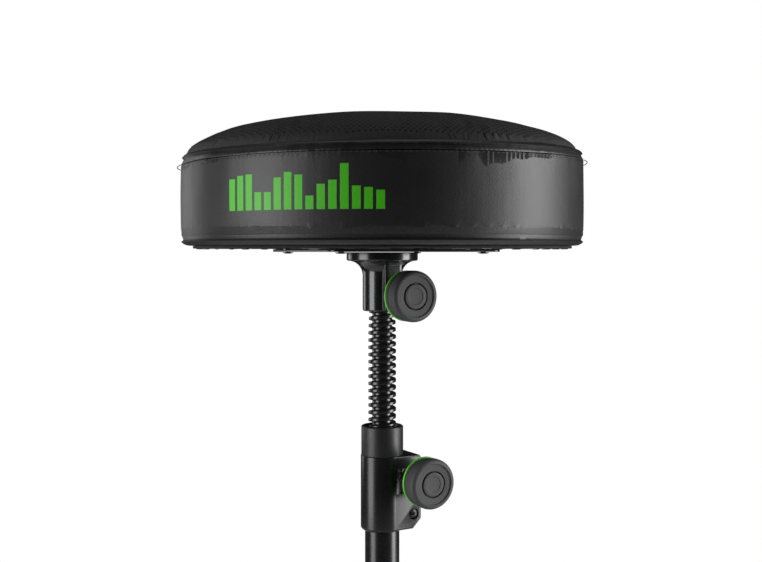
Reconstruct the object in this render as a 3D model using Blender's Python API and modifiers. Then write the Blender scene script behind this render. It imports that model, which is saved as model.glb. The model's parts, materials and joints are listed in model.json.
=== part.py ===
"""Drum throne: a round padded seat on a screw spindle, over a folding three-legged base.

Units are metres, +Z is up and the feet stand on z = 0. The origin is under the middle of the
whole stool's plan box, so the tube's axis stands a little behind it on -Y. The seat is drawn at
600 mm, between its lowest and highest settings, with the legs fully open.
"""
import bpy
import bmesh
from math import cos, floor, pi, radians, sin, sqrt
from mathutils import Matrix, Vector

MM = 0.001
GAP = 0.3 * MM                      # clearance between pieces that touch

# Base tube and the collars that run on it
TUBE_RADIUS = 14.3 * MM
TUBE_WALL = 1.5 * MM
TUBE_BOTTOM = 16 * MM
PLUG_LIP = 3 * MM
PLUG_DEPTH = 12 * MM
COLLAR_WALL = 4.5 * MM
COLLAR_HALF = 10 * MM               # half the height of a collar
COLLAR_TRAVEL_STOP = 7 * MM         # left under the housing when the legs are folded

# Tripod linkage: leg and brace are equal arms, so both lean by the same angle
LEG_COUNT = 3
FIRST_LEG_AZIMUTH = radians(90)
LINK = 100 * MM                     # pivot to pivot, on the leg and on the brace
PIVOT_CLEARANCE = 1 * MM            # between a collar and the strips' round ends
LOWER_PIVOT_Z = 45 * MM
OPEN_ANGLE = radians(52)            # from vertical
FOLDED_ANGLE = radians(8)
STRIP_THICKNESS = 2.5 * MM
LEG_WIDTH = 16 * MM
BRACE_WIDTH = 14 * MM
BRACE_WEB_INSET = 16 * MM           # from each pivot to the end of the channel's web
LOWER_TONGUE = 6.4 * MM             # thickness of the fixed collar's tongues
SIDE_PLAY = 0.5 * MM                # between strips, and between a strip and a tongue
TONGUE_NOSE = 8 * MM                # from a pivot to the rounded end of its tongue
PIN_RADIUS = 3 * MM
RIVET_HEAD_RADIUS = 5 * MM
RIVET_HEAD = 1.8 * MM

# Rubber feet
FOOT_CENTRE_Z = 12 * MM             # height of the leg's end above the floor
FOOT_WALL = 3 * MM
FOOT_SLEEVE = 30 * MM
FOOT_TOE = 8 * MM                   # height of the upright toe

# Clamp housing, with its split lug
HOUSING_RADIUS = 17.8 * MM
HOUSING_HEIGHT = 62.3 * MM
HOUSING_ROUND = 2.5 * MM
LUG_AZIMUTH = radians(30)
LUG_REACH = 27.5 * MM
LUG_FRONT = 17.5 * MM               # from the slit's middle to the face under the knob
LUG_BACK = 11 * MM
LUG_SLIT = 2.4 * MM
LUG_CORNER = 8 * MM
LUG_SHELF = 10 * MM                 # height of the part over the knob's pocket
POCKET_HEIGHT = 21 * MM
POCKET_FLOOR = 7 * MM
CLAMP_OFFSET = 20 * MM              # tube axis to the clamp's bolts
CLAMP_SCREW_RADIUS = 2.5 * MM
CLAMP_SCREW_HEAD = 4 * MM
COUNTERBORE_DEPTH = 3.5 * MM
CLAMP_SCREW_RISE = 13.3 * MM          # above the housing's bottom

# Spindle nut, spindle and its guide
NUT_RADIUS = 17.4 * MM
NUT_HEAD = 24 * MM
NUT_SHANK = 30 * MM
NUT_DISH = 3 * MM
PITCH = 6 * MM
THREAD_RADIUS = 11.5 * MM
THREAD_ROOT = 8.2 * MM
CREST_WIDTH = 2.4 * MM
ROOT_WIDTH = 1.9 * MM
THREAD_PLAY = 0.55 * MM             # radial; the flanks get half of it
THREAD_STEPS = 12                   # facets per turn
TAPER_TURNS = 3.5
TAPER_DEPTH = 0.8 * MM
EXPOSED_SCREW = 95 * MM           # nut to seat socket, at the height drawn
THREAD_IN_SOCKET = 2 * MM
SHANK_RADIUS = 10 * MM
SHANK_LENGTH = 36 * MM
SCREW_BELOW_NUT = 73 * MM
GUIDE_HEIGHT = 12 * MM
GUIDE_PLAY = 0.35 * MM
GUIDE_SHOULDER = 4 * MM
GUIDE_SCREW_DEPTH = 14 * MM

# Seat socket: flange, hub and the boss for its clamping knob
FLANGE_RADIUS = 29.6 * MM
FLANGE_HEIGHT = 7.2 * MM
FLANGE_FILLET = 12 * MM
HUB_RADIUS = 16.2 * MM
HUB_HEIGHT = 48.6 * MM              # flange included
BOSS_WIDTH = 16 * MM
BOSS_REACH = 19 * MM
SEAT_KNOB_DROP = 35 * MM            # below the mounting plate

# Seat
SEAT_RADIUS = 165 * MM
SEAM_BULGE = 1 * MM
PLATE_SIDE = 146 * MM
PLATE_THICKNESS = 2.2 * MM
PLATE_CORNER = 9 * MM
PLATE_TURN = radians(24)
PLATE_SCREW_INSET = 12 * MM
PLATE_SCREW_RADIUS = 2.2 * MM
PLATE_SCREW_HEAD = 4.5 * MM
PLATE_SCREW_HEAD_HEIGHT = 1.2 * MM
PLATE_SCREW_LENGTH = 13 * MM
DUST_COVER_RADIUS = 155 * MM
DUST_COVER_THICKNESS = 2.2 * MM
SKIN = 2 * MM                       # leather or mesh with its lining
HEM = 22 * MM                       # leather turned in under the board
BAND_ROUND = 8 * MM
BAND_HEIGHT = 66 * MM
BOARD_THICKNESS = 12 * MM
TRIM_DROP = 8 * MM
TRIM_INSET = 5 * MM
DOME_HEIGHT = 31 * MM
DOME_POWER = 2.2

# Knobs: turned rubber grips on steel bolts
KNOB_AZIMUTH = radians(-60)
KNOB_RADIUS = 20.4 * MM
KNOB_DEPTH = 16 * MM
KNOB_RIM = 3.6 * MM
KNOB_FACE_SINK = 0.9 * MM
KNOB_RING = 2 * MM
KNOB_RING_SEAT = 13.7 * MM
KNOB_HUB_RADIUS = 8 * MM
KNOB_HUB = 4 * MM
CAP_RADIUS = 10.2 * MM
CAP_THICKNESS = 2.4 * MM
BOLT_RADIUS = 4 * MM
BOLT_HEAD_RADIUS = 7.4 * MM
BOLT_HEAD = 5 * MM
SEAT_KNOB_OUT = 37.5 * MM           # back of the knob, from its screw or tube axis
HEIGHT_KNOB_OUT = 32.5 * MM
HEIGHT_KNOB_RISE = 43.3 * MM        # above the housing's bottom
COLLAR_KNOB_OUT = 34 * MM
COLLAR_KNOB_AZIMUTH = radians(-90)
COLLAR_BOSS_RADIUS = 8 * MM
COLLAR_BOSS_REACH = 25 * MM

# Facets around a turn
SEAT_STEPS = 32
DOME_STEPS = 6
TURNED_STEPS = 20
PLATE_SCREW_STEPS = 10
KNOB_STEPS = 16
SMALL_STEPS = 8
CLEARANCE_SIDES = 16

# Heights and radii that follow from the values above
UPPER_PIVOT_Z = LOWER_PIVOT_Z + 2 * LINK * cos(OPEN_ANGLE)
FOLDED_PIVOT_Z = LOWER_PIVOT_Z + 2 * LINK * cos(FOLDED_ANGLE)
LEG_LENGTH = (UPPER_PIVOT_Z - FOOT_CENTRE_Z) / cos(OPEN_ANGLE)
HOUSING_Z = FOLDED_PIVOT_Z + COLLAR_HALF + COLLAR_TRAVEL_STOP
NUT_Z = HOUSING_Z + HOUSING_HEIGHT
NUT_TOP = NUT_Z + NUT_HEAD
SOCKET_Z = NUT_TOP + EXPOSED_SCREW
PLATE_Z = SOCKET_Z + HUB_HEIGHT
DUST_COVER_Z = PLATE_Z + PLATE_THICKNESS + GAP
BAND_Z = DUST_COVER_Z + DUST_COVER_THICKNESS + GAP
BOARD_Z = BAND_Z + SKIN + GAP
SEAM_Z = BAND_Z + BAND_HEIGHT
DOME_Z = SEAM_Z + TRIM_DROP
DOME_RADIUS = SEAT_RADIUS - TRIM_INSET
SPINDLE_Z = NUT_Z - NUT_SHANK - SCREW_BELOW_NUT
LEG_STRIP_OFFSET = LOWER_TONGUE / 2 + 2 * SIDE_PLAY + 1.5 * STRIP_THICKNESS
BRACE_STRIP_OFFSET = LOWER_TONGUE / 2 + SIDE_PLAY + STRIP_THICKNESS / 2
UPPER_TONGUE = 2 * (LEG_STRIP_OFFSET - STRIP_THICKNESS / 2 - SIDE_PLAY)
COLLAR_BORE = TUBE_RADIUS + GAP
COLLAR_RADIUS = COLLAR_BORE + COLLAR_WALL
PIVOT_RADIUS = COLLAR_RADIUS + PIVOT_CLEARANCE + LEG_WIDTH / 2
TUBE_BORE = TUBE_RADIUS - TUBE_WALL
TUBE_TOP = NUT_Z - GAP


def foot_outline_in_plan():
    """Corners of a foot as (outward, up) from the tube's axis, and its outermost reach."""
    out = Vector((sin(OPEN_ANGLE), -cos(OPEN_ANGLE)))
    over = Vector((cos(OPEN_ANGLE), sin(OPEN_ANGLE)))
    end = Vector((PIVOT_RADIUS + LEG_LENGTH * out.x, FOOT_CENTRE_Z))
    half = LEG_WIDTH / 2 + FOOT_WALL
    under = end - out * FOOT_SLEEVE - over * half
    above = end - out * FOOT_SLEEVE + over * half
    heel = under.x + out.x * under.y / cos(OPEN_ANGLE)
    toe = above.x + out.x * (above.y - FOOT_TOE) / cos(OPEN_ANGLE)
    return [under, Vector((heel, 0)), Vector((toe, 0)), Vector((toe, FOOT_TOE)), above], toe


FOOT_CORNERS, FOOT_REACH = foot_outline_in_plan()
AXIS_Y = (SEAT_RADIUS + SEAM_BULGE - FOOT_REACH) / 2


# ---------------------------------------------------------------- scene and materials

def collection(name):
    made = bpy.data.collections.new(name)
    bpy.context.scene.collection.children.link(made)
    return made


def clear_scene():
    for old in list(bpy.data.objects):
        bpy.data.objects.remove(old, do_unlink=True)


def material(name, colour, roughness, metallic=0.0):
    made = bpy.data.materials.new(name)
    made.use_nodes = True
    shader = made.node_tree.nodes["Principled BSDF"]
    shader.inputs["Base Color"].default_value = (*colour, 1.0)
    shader.inputs["Roughness"].default_value = roughness
    shader.inputs["Metallic"].default_value = metallic
    return made


clear_scene()
PARTS = collection("drum_throne")
CUTTERS = collection("drum_throne_cutters")

BLACK_PAINT = material("black_powder_coat", (0.012, 0.012, 0.013), 0.38)
GLOSS_BLACK = material("gloss_black_casting", (0.010, 0.010, 0.011), 0.22)
BLACK_STEEL = material("blackened_steel", (0.03, 0.03, 0.032), 0.30, 0.6)
ZINC = material("zinc_plated_steel", (0.45, 0.46, 0.47), 0.35, 1.0)
BLACK_PLASTIC = material("black_moulded_plastic", (0.015, 0.015, 0.016), 0.45)
GRIP_RUBBER = material("grip_rubber", (0.045, 0.045, 0.047), 0.65)
FOOT_RUBBER = material("foot_rubber", (0.015, 0.015, 0.015), 0.8)
GREEN_PLASTIC = material("green_plastic", (0.09, 0.55, 0.02), 0.4)
LEATHER = material("black_imitation_leather", (0.014, 0.014, 0.015), 0.5)
SPACER_MESH = material("black_spacer_mesh", (0.008, 0.008, 0.008), 0.85)
FELT = material("black_dust_cover", (0.01, 0.01, 0.01), 0.9)
FOAM = material("grey_foam", (0.25, 0.25, 0.24), 0.95)
PLYWOOD = material("birch_plywood", (0.55, 0.40, 0.24), 0.7)


# ---------------------------------------------------------------- making pieces

def axis_empty(name, location=(0, 0, 0), rotation=(0, 0, 0), parent=None):
    """An empty on a joint's or a feature's axis, which carries the pieces around it."""
    made = bpy.data.objects.new(name, None)
    made.empty_display_size = 20 * MM
    made.location = location
    made.rotation_euler = rotation
    made.parent = parent
    PARTS.objects.link(made)
    return made


def piece(name, mesh, finish, parent=None, location=(0, 0, 0), rotation=(0, 0, 0)):
    """A named sub-part; without a finish it is a cutter."""
    made = bpy.data.objects.new(name, mesh)
    made.location = location
    made.rotation_euler = rotation
    made.parent = parent
    if finish is None:
        CUTTERS.objects.link(made)
        made.hide_render = True
        made.display_type = 'WIRE'
    else:
        PARTS.objects.link(made)
        mesh.materials.append(finish)
    return made


def turned(name, profile, finish, parent, steps=TURNED_STEPS, ring=False, **place):
    """Turn (radius, height) points, listed down the outer side; a ring's profile is closed."""
    mesh = bpy.data.meshes.new(name)
    last = len(profile) - 1
    edges = [(i, i + 1) for i in range(last)]
    if ring:
        edges.append((last, 0))
    mesh.from_pydata([(r, 0, z) for r, z in profile], edges, [])
    made = piece(name, mesh, finish, parent, **place)
    screw = made.modifiers.new("turn", 'SCREW')
    screw.axis = 'Z'
    screw.angle = 2 * pi
    screw.steps = screw.render_steps = steps
    screw.use_merge_vertices = True
    screw.merge_threshold = 0.00001
    screw.use_smooth_shade = True
    return made


def rod(name, radius, low, high, finish, parent, sides=SMALL_STEPS, **place):
    """A solid cylinder or prism along the local Z, between two heights."""
    mesh = bpy.data.meshes.new(name)
    shape = bmesh.new()
    bmesh.ops.create_cone(shape, cap_ends=True, segments=sides, radius1=radius, radius2=radius,
                          depth=high - low, matrix=Matrix.Translation((0, 0, (low + high) / 2)))
    shape.to_mesh(mesh)
    shape.free()
    return piece(name, mesh, finish, parent, **place)


def block(name, low, high, finish, parent, **place):
    """A box between two corners."""
    low, high = Vector(low), Vector(high)
    mesh = bpy.data.meshes.new(name)
    shape = bmesh.new()
    size = Matrix.Diagonal((high - low).to_4d())
    bmesh.ops.create_cube(shape, size=1, matrix=Matrix.Translation((low + high) / 2) @ size)
    shape.to_mesh(mesh)
    shape.free()
    return piece(name, mesh, finish, parent, **place)


def flat(name, outline, thickness, finish, parent, holes=(), **place):
    """A flat outline with holes, given a thickness about the local XY plane."""
    curve = bpy.data.curves.new(name, 'CURVE')
    curve.dimensions = '2D'
    curve.fill_mode = 'BOTH'
    curve.extrude = thickness / 2
    for points in (outline, *holes):
        spline = curve.splines.new('POLY')
        spline.points.add(len(points) - 1)
        for point, (x, y) in zip(spline.points, points):
            point.co = (x, y, 0, 1)
        spline.use_cyclic_u = True
    drawn = bpy.data.objects.new(name + "_outline", curve)
    bpy.context.scene.collection.objects.link(drawn)
    evaluated = drawn.evaluated_get(bpy.context.evaluated_depsgraph_get())
    mesh = bpy.data.meshes.new_from_object(evaluated)
    bpy.data.objects.remove(drawn, do_unlink=True)
    shape = bmesh.new()
    shape.from_mesh(mesh)
    bmesh.ops.remove_doubles(shape, verts=shape.verts, dist=0.000001)
    shape.to_mesh(mesh)
    shape.free()
    mesh.materials.clear()
    return piece(name, mesh, finish, parent, **place)


def combine(target, other, operation):
    step = target.modifiers.new(other.name, 'BOOLEAN')
    step.operation = operation
    step.solver = 'EXACT'
    step.object = other


def cut(target, *cutters):
    for cutter in cutters:
        combine(target, cutter, 'DIFFERENCE')


def join(target, *others):
    for other in others:
        combine(target, other, 'UNION')


def bevel(target, width, segments=2):
    edge = target.modifiers.new("rounded_edges", 'BEVEL')
    edge.width = width
    edge.segments = segments
    edge.limit_method = 'ANGLE'
    edge.angle_limit = radians(40)


def arc(x, y, radius, start, end, count):
    """Points of an arc, from one angle to another in degrees."""
    angles = [radians(start + (end - start) * i / count) for i in range(count + 1)]
    return [(x + radius * cos(a), y + radius * sin(a)) for a in angles]


def circle(x, y, radius, sides=SMALL_STEPS):
    return arc(x, y, radius, 0, 360, sides)[:-1]


# ---------------------------------------------------------------- knobs

def knob(name, parent, bolt_reach):
    """Bolt, grip, ring and cap on the local Z, with z = 0 at the knob's back face."""
    face = KNOB_DEPTH - KNOB_FACE_SINK
    cap_z = face - CAP_THICKNESS + 0.3 * MM
    head_z = cap_z - GAP - BOLT_HEAD
    face_edge = KNOB_RADIUS - KNOB_RIM - 0.4 * MM
    grip = [(CAP_RADIUS + GAP, face), (face_edge, face), (face_edge + 0.4 * MM, KNOB_DEPTH)]
    grip += arc(KNOB_RADIUS - KNOB_RIM, KNOB_DEPTH - KNOB_RIM, KNOB_RIM, 90, 0, 2)[1:]
    grip += [(KNOB_RADIUS, 8 * MM), (KNOB_RADIUS - 0.6 * MM, 7.4 * MM),
             (KNOB_RADIUS - 0.6 * MM, KNOB_RING + GAP), (KNOB_RING_SEAT, KNOB_RING + GAP),
             (KNOB_RING_SEAT, 0), (KNOB_HUB_RADIUS, 0), (KNOB_HUB_RADIUS, -KNOB_HUB),
             (BOLT_RADIUS + GAP, -KNOB_HUB), (BOLT_RADIUS + GAP, head_z - GAP),
             (BOLT_HEAD_RADIUS + GAP, head_z - GAP), (BOLT_HEAD_RADIUS + GAP, cap_z - GAP),
             (CAP_RADIUS + GAP, cap_z - GAP)]
    turned(name + "_grip", grip, GRIP_RUBBER, parent, steps=KNOB_STEPS, ring=True)
    inner = KNOB_RING_SEAT + GAP
    ring = [(inner, KNOB_RING), (KNOB_RADIUS - 0.5 * MM, KNOB_RING),
            (KNOB_RADIUS, KNOB_RING / 2), (KNOB_RADIUS - 0.5 * MM, 0), (inner, 0)]
    turned(name + "_ring", ring, GREEN_PLASTIC, parent, steps=KNOB_STEPS, ring=True)
    cap = [(0, cap_z + CAP_THICKNESS), (CAP_RADIUS - 0.5 * MM, cap_z + CAP_THICKNESS),
           (CAP_RADIUS, cap_z + CAP_THICKNESS - 0.5 * MM), (CAP_RADIUS, cap_z), (0, cap_z)]
    turned(name + "_cap", cap, GRIP_RUBBER, parent, steps=KNOB_STEPS)
    bolt = rod(name + "_bolt", BOLT_HEAD_RADIUS, head_z, head_z + BOLT_HEAD, ZINC, parent, sides=6)
    join(bolt, rod(name + "_bolt_shank", BOLT_RADIUS, -bolt_reach, head_z + 1 * MM, None, parent))


# ---------------------------------------------------------------- base tube and clamp

def base_tube(stand):
    tube = turned("base_tube", [(TUBE_BORE, TUBE_TOP), (TUBE_RADIUS, TUBE_TOP),
                                (TUBE_RADIUS, TUBE_BOTTOM), (TUBE_BORE, TUBE_BOTTOM)],
                  BLACK_PAINT, stand, ring=True)
    slit_low = HOUSING_Z + HOUSING_ROUND
    slit = block("tube_slit", (0, -LUG_SLIT / 2, slit_low),
                 (HOUSING_RADIUS, LUG_SLIT / 2, TUBE_TOP + MM), None, stand,
                 rotation=(0, 0, LUG_AZIMUTH))
    cut(tube, slit)
    lip = TUBE_BOTTOM - GAP
    plug = [(0, TUBE_BOTTOM + PLUG_DEPTH), (TUBE_BORE - 1.5 * MM, TUBE_BOTTOM + PLUG_DEPTH),
            (TUBE_BORE - GAP, TUBE_BOTTOM + PLUG_DEPTH - 2 * MM), (TUBE_BORE - GAP, lip),
            (TUBE_RADIUS, lip), (TUBE_RADIUS, lip - PLUG_LIP + MM),
            (TUBE_RADIUS - MM, lip - PLUG_LIP), (0, lip - PLUG_LIP)]
    turned("tube_end_plug", plug, BLACK_PLASTIC, stand)


def clamp_housing(stand):
    bore = TUBE_RADIUS + GAP
    top = NUT_Z - GAP
    profile = [(bore, top), (HOUSING_RADIUS - 0.5 * MM, top), (HOUSING_RADIUS, top - 0.5 * MM)]
    profile += arc(HOUSING_RADIUS - HOUSING_ROUND, HOUSING_Z + HOUSING_ROUND, HOUSING_ROUND,
                   0, -90, 3)
    profile.append((bore, HOUSING_Z))
    housing = turned("clamp_housing", profile, BLACK_PAINT, stand, ring=True,
                     rotation=(0, 0, LUG_AZIMUTH))
    # In the housing's own frame +X runs out along the lug and -Y faces the knob.
    side = [(0, HOUSING_Z + MM), (LUG_REACH - LUG_CORNER, HOUSING_Z + MM),
            (LUG_REACH, HOUSING_Z + MM + LUG_CORNER), (LUG_REACH, top - 2 * MM),
            (LUG_REACH - 2 * MM, top), (0, top)]
    upright = (pi / 2, 0, 0)
    lug = flat("lug", side, LUG_FRONT + LUG_BACK, None, housing, rotation=upright,
               location=(0, (LUG_BACK - LUG_FRONT) / 2, 0))
    pocket_top = top - LUG_SHELF
    cut(lug, block("lug_pocket", (-MM, -LUG_FRONT - MM, pocket_top - POCKET_HEIGHT),
                   (LUG_REACH + MM, -POCKET_FLOOR, pocket_top), None, housing))
    slit = block("lug_slit", (0, -LUG_SLIT / 2, HOUSING_Z - MM),
                 (LUG_REACH + MM, LUG_SLIT / 2, top + MM), None, housing)
    inside = rod("lug_bore", bore, HOUSING_Z - MM, top + MM, None, housing, sides=TURNED_STEPS)
    across = dict(rotation=upright)
    through = dict(low=-LUG_BACK - MM, high=LUG_FRONT + MM, finish=None, parent=housing)
    bolt_hole = rod("lug_bolt_hole", BOLT_RADIUS + GAP, **through,
                    location=(CLAMP_OFFSET, 0, HOUSING_Z + HEIGHT_KNOB_RISE), **across)
    screw_at = (CLAMP_OFFSET, 0, HOUSING_Z + CLAMP_SCREW_RISE)
    screw_hole = rod("lug_screw_hole", CLAMP_SCREW_RADIUS + GAP, **through, location=screw_at,
                     **across)
    seat_depth = LUG_FRONT - COUNTERBORE_DEPTH
    counterbore = rod("lug_counterbore", CLAMP_SCREW_HEAD + 2 * GAP, seat_depth,
                      LUG_FRONT + MM, None, housing, sides=CLEARANCE_SIDES, location=screw_at,
                      **across)
    join(housing, lug)
    cut(housing, inside, slit, bolt_hole, screw_hole, counterbore)

    screw = rod("clamp_screw", CLAMP_SCREW_HEAD, seat_depth + GAP, LUG_FRONT - GAP, ZINC,
                housing, sides=CLEARANCE_SIDES, location=screw_at, **across)
    join(screw, rod("clamp_screw_shank", CLAMP_SCREW_RADIUS, -LUG_BACK - MM,
                    seat_depth + MM, None, housing, location=screw_at, **across))


def knob_axes(stand):
    """Empties on the axes of the three knobs: local Z points out of the knob's face."""
    out = (0, pi / 2, KNOB_AZIMUTH)
    height_z = HOUSING_Z + HEIGHT_KNOB_RISE
    along_lug = Vector((cos(LUG_AZIMUTH), sin(LUG_AZIMUTH), 0)) * CLAMP_OFFSET
    facing = Vector((cos(KNOB_AZIMUTH), sin(KNOB_AZIMUTH), 0))
    at = along_lug + facing * HEIGHT_KNOB_OUT + Vector((0, 0, height_z))
    height_axis = axis_empty("height_knob_axis", at, out, stand)
    knob("height_knob", height_axis, HEIGHT_KNOB_OUT + LUG_BACK + 2 * MM)
    at = facing * SEAT_KNOB_OUT + Vector((0, 0, PLATE_Z - SEAT_KNOB_DROP))
    seat_axis = axis_empty("seat_knob_axis", at, out, stand)
    knob("seat_knob", seat_axis, SEAT_KNOB_OUT - SHANK_RADIUS - GAP)
    facing = Vector((cos(COLLAR_KNOB_AZIMUTH), sin(COLLAR_KNOB_AZIMUTH), 0))
    at = facing * COLLAR_KNOB_OUT + Vector((0, 0, UPPER_PIVOT_Z))
    collar_axis = axis_empty("collar_knob_axis", at, (0, pi / 2, COLLAR_KNOB_AZIMUTH), stand)
    knob("collar_knob", collar_axis, COLLAR_KNOB_OUT - TUBE_RADIUS - GAP)


# ---------------------------------------------------------------- screw spindle and its nut

def thread_mesh(name, play, low, high, taper=0.0):
    """A right-hand trapezoidal screw between two heights, grown by a play all over."""
    crest, root = THREAD_RADIUS + play, THREAD_ROOT + play
    crest_half = (CREST_WIDTH + play) / 2
    root_half = (PITCH - ROOT_WIDTH + play) / 2
    turns = int((high - low) / PITCH) + 4
    middle = (floor(low / PITCH) - 1) * PITCH
    shape = bmesh.new()
    points = [(root, middle - root_half), (crest, middle - crest_half),
              (crest, middle + crest_half), (root, middle + root_half),
              (root, middle + PITCH - root_half)]
    verts = [shape.verts.new((r, 0, z)) for r, z in points]
    edges = [shape.edges.new(pair) for pair in zip(verts, verts[1:])]
    steps = turns * THREAD_STEPS
    bmesh.ops.spin(shape, geom=verts + edges, cent=(0, 0, 0), axis=(0, 0, 1),
                   dvec=(0, 0, PITCH / THREAD_STEPS), angle=2 * pi * turns, steps=steps)
    bmesh.ops.remove_doubles(shape, verts=shape.verts, dist=0.00001)
    for vert in shape.verts:
        radius = vert.co.xy.length
        fade = (vert.co.z - (high - TAPER_TURNS * PITCH)) / (TAPER_TURNS * PITCH)
        if taper and radius > (crest + root) / 2 and fade > 0:
            vert.co.xy *= 1 - min(fade, 1) * taper / crest
    for height, up in ((high, 1), (low, -1)):
        everything = shape.verts[:] + shape.edges[:] + shape.faces[:]
        bmesh.ops.bisect_plane(shape, geom=everything, plane_co=(0, 0, height),
                               plane_no=(0, 0, up), clear_outer=True, dist=0.0000001)
    rims = [edge for edge in shape.edges if edge.is_boundary]
    bmesh.ops.holes_fill(shape, edges=rims, sides=0)
    bmesh.ops.recalc_face_normals(shape, faces=shape.faces)
    mesh = bpy.data.meshes.new(name)
    shape.to_mesh(mesh)
    shape.free()
    return mesh


def spindle_nut(stand):
    """A flanged sleeve: its head stands on the housing and its shank hangs in the tube."""
    shank = TUBE_BORE - GAP
    low = NUT_Z - NUT_SHANK
    profile = [(0, NUT_TOP - NUT_DISH), (THREAD_ROOT, NUT_TOP - NUT_DISH),
               (THREAD_RADIUS + 2.2 * MM, NUT_TOP)]
    profile += arc(NUT_RADIUS - 1.2 * MM, NUT_TOP - 1.2 * MM, 1.2 * MM, 90, 0, 2)
    profile += [(NUT_RADIUS, NUT_Z + 0.5 * MM), (NUT_RADIUS - 0.5 * MM, NUT_Z), (shank, NUT_Z),
                (shank, low + MM), (shank - MM, low), (0, low)]
    nut = turned("spindle_nut", profile, BLACK_PLASTIC, stand)
    tap = thread_mesh("nut_thread", THREAD_PLAY, low - 2 * MM, NUT_TOP + 2 * MM)
    cut(nut, piece("nut_thread", tap, None, stand))


def spindle(stand):
    thread_top = SOCKET_Z + THREAD_IN_SOCKET
    mesh = thread_mesh("spindle", 0, SPINDLE_Z, thread_top, TAPER_DEPTH)
    screw = piece("spindle", mesh, GLOSS_BLACK, stand)
    shank = rod("spindle_shank", SHANK_RADIUS, thread_top - 2 * MM, SOCKET_Z + SHANK_LENGTH,
                None, stand, sides=TURNED_STEPS)
    hole = rod("spindle_end_hole", PIN_RADIUS + GAP, SPINDLE_Z - MM,
               SPINDLE_Z + GUIDE_SCREW_DEPTH + GAP, None, stand)
    join(screw, shank)
    cut(screw, hole)
    bush_top = SPINDLE_Z - GAP
    bush_low = bush_top - GUIDE_HEIGHT
    outer = TUBE_BORE - GUIDE_PLAY
    turned("guide_bush", [(GUIDE_SHOULDER + GAP, bush_top), (outer - MM, bush_top),
                          (outer, bush_top - MM), (outer, bush_low + MM), (outer - MM, bush_low),
                          (GUIDE_SHOULDER + GAP, bush_low)],
           BLACK_PLASTIC, stand, ring=True)
    head_top = bush_low - GAP
    turned("guide_screw", [(0, SPINDLE_Z + GUIDE_SCREW_DEPTH),
                           (PIN_RADIUS, SPINDLE_Z + GUIDE_SCREW_DEPTH),
                           (PIN_RADIUS, bush_top), (GUIDE_SHOULDER, bush_top),
                           (GUIDE_SHOULDER, head_top), (2 * GUIDE_SHOULDER, head_top),
                           (2 * GUIDE_SHOULDER, head_top - 3 * MM), (0, head_top - 3 * MM)],
           ZINC, stand, steps=SMALL_STEPS)


# ---------------------------------------------------------------- seat

def seat_socket(stand):
    top = PLATE_Z - GAP
    bore = SHANK_RADIUS + GAP
    bore_top = SOCKET_Z + SHANK_LENGTH + 2 * MM
    under_flange = PLATE_Z - FLANGE_HEIGHT
    profile = [(0, top), (FLANGE_RADIUS - 0.8 * MM, top), (FLANGE_RADIUS, top - 0.8 * MM),
               (FLANGE_RADIUS, under_flange + MM), (FLANGE_RADIUS - MM, under_flange)]
    profile += arc(HUB_RADIUS + FLANGE_FILLET, under_flange - FLANGE_FILLET, FLANGE_FILLET,
                   90, 180, 4)
    mouth = THREAD_RADIUS + 2 * GAP
    profile += [(HUB_RADIUS, SOCKET_Z + 1.5 * MM), (HUB_RADIUS - 1.5 * MM, SOCKET_Z),
                (mouth, SOCKET_Z), (mouth, SOCKET_Z + THREAD_IN_SOCKET + GAP),
                (bore, SOCKET_Z + THREAD_IN_SOCKET + mouth - bore), (bore, bore_top),
                (0, bore_top)]
    socket = turned("seat_socket", profile, GLOSS_BLACK, stand, rotation=(0, 0, KNOB_AZIMUTH))
    boss = block("socket_boss", (bore + 1.5 * MM, -BOSS_WIDTH / 2, SOCKET_Z + 0.6 * MM),
                 (BOSS_REACH, BOSS_WIDTH / 2, under_flange + 2 * MM), None, socket)
    bevel(boss, 0.8 * MM, 1)
    hole = rod("socket_bolt_hole", BOLT_RADIUS + GAP, 0, BOSS_REACH + 5 * MM, None, socket,
               location=(0, 0, PLATE_Z - SEAT_KNOB_DROP), rotation=(0, pi / 2, 0))
    join(socket, boss)
    cut(socket, hole)


def rounded_square(side, corner, segments=3):
    half = side / 2 - corner
    points = []
    for x, y, start in ((half, half, 0), (-half, half, 90), (-half, -half, 180),
                        (half, -half, 270)):
        points += arc(x, y, corner, start, start + 90, segments)
    return points


def plate_and_screws(stand):
    """The steel plate and its four wood screws; returns the screws' clearance cutters."""
    turn = axis_empty("plate_turn", (0, 0, PLATE_Z), (0, 0, PLATE_TURN), stand)
    inset = PLATE_SIDE / 2 - PLATE_SCREW_INSET
    places = [(inset, inset), (-inset, inset), (-inset, -inset), (inset, -inset)]
    holes = [circle(x, y, PLATE_SCREW_RADIUS + GAP, 8) for x, y in places]
    flat("mounting_plate", rounded_square(PLATE_SIDE, PLATE_CORNER), PLATE_THICKNESS,
         BLACK_PAINT, turn, holes, location=(0, 0, PLATE_THICKNESS / 2))
    clearances = []
    for number, (x, y) in enumerate(places, 1):
        head = -GAP - PLATE_SCREW_HEAD_HEIGHT
        tip = PLATE_SCREW_LENGTH
        profile = [(0, tip), (PLATE_SCREW_RADIUS, tip - 3 * MM), (PLATE_SCREW_RADIUS, -GAP),
                   (PLATE_SCREW_HEAD, -GAP), (PLATE_SCREW_HEAD, -GAP - MM / 2),
                   (PLATE_SCREW_HEAD - 1.6 * MM, head), (0, head)]
        turned(f"plate_screw_{number}", profile, BLACK_STEEL, turn,
               steps=PLATE_SCREW_STEPS, location=(x, y, 0))
        clearances.append(rod(f"plate_screw_clearance_{number}", PLATE_SCREW_RADIUS + GAP,
                              0, tip + MM, None, turn, sides=8, location=(x, y, 0)))
    return clearances


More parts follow.
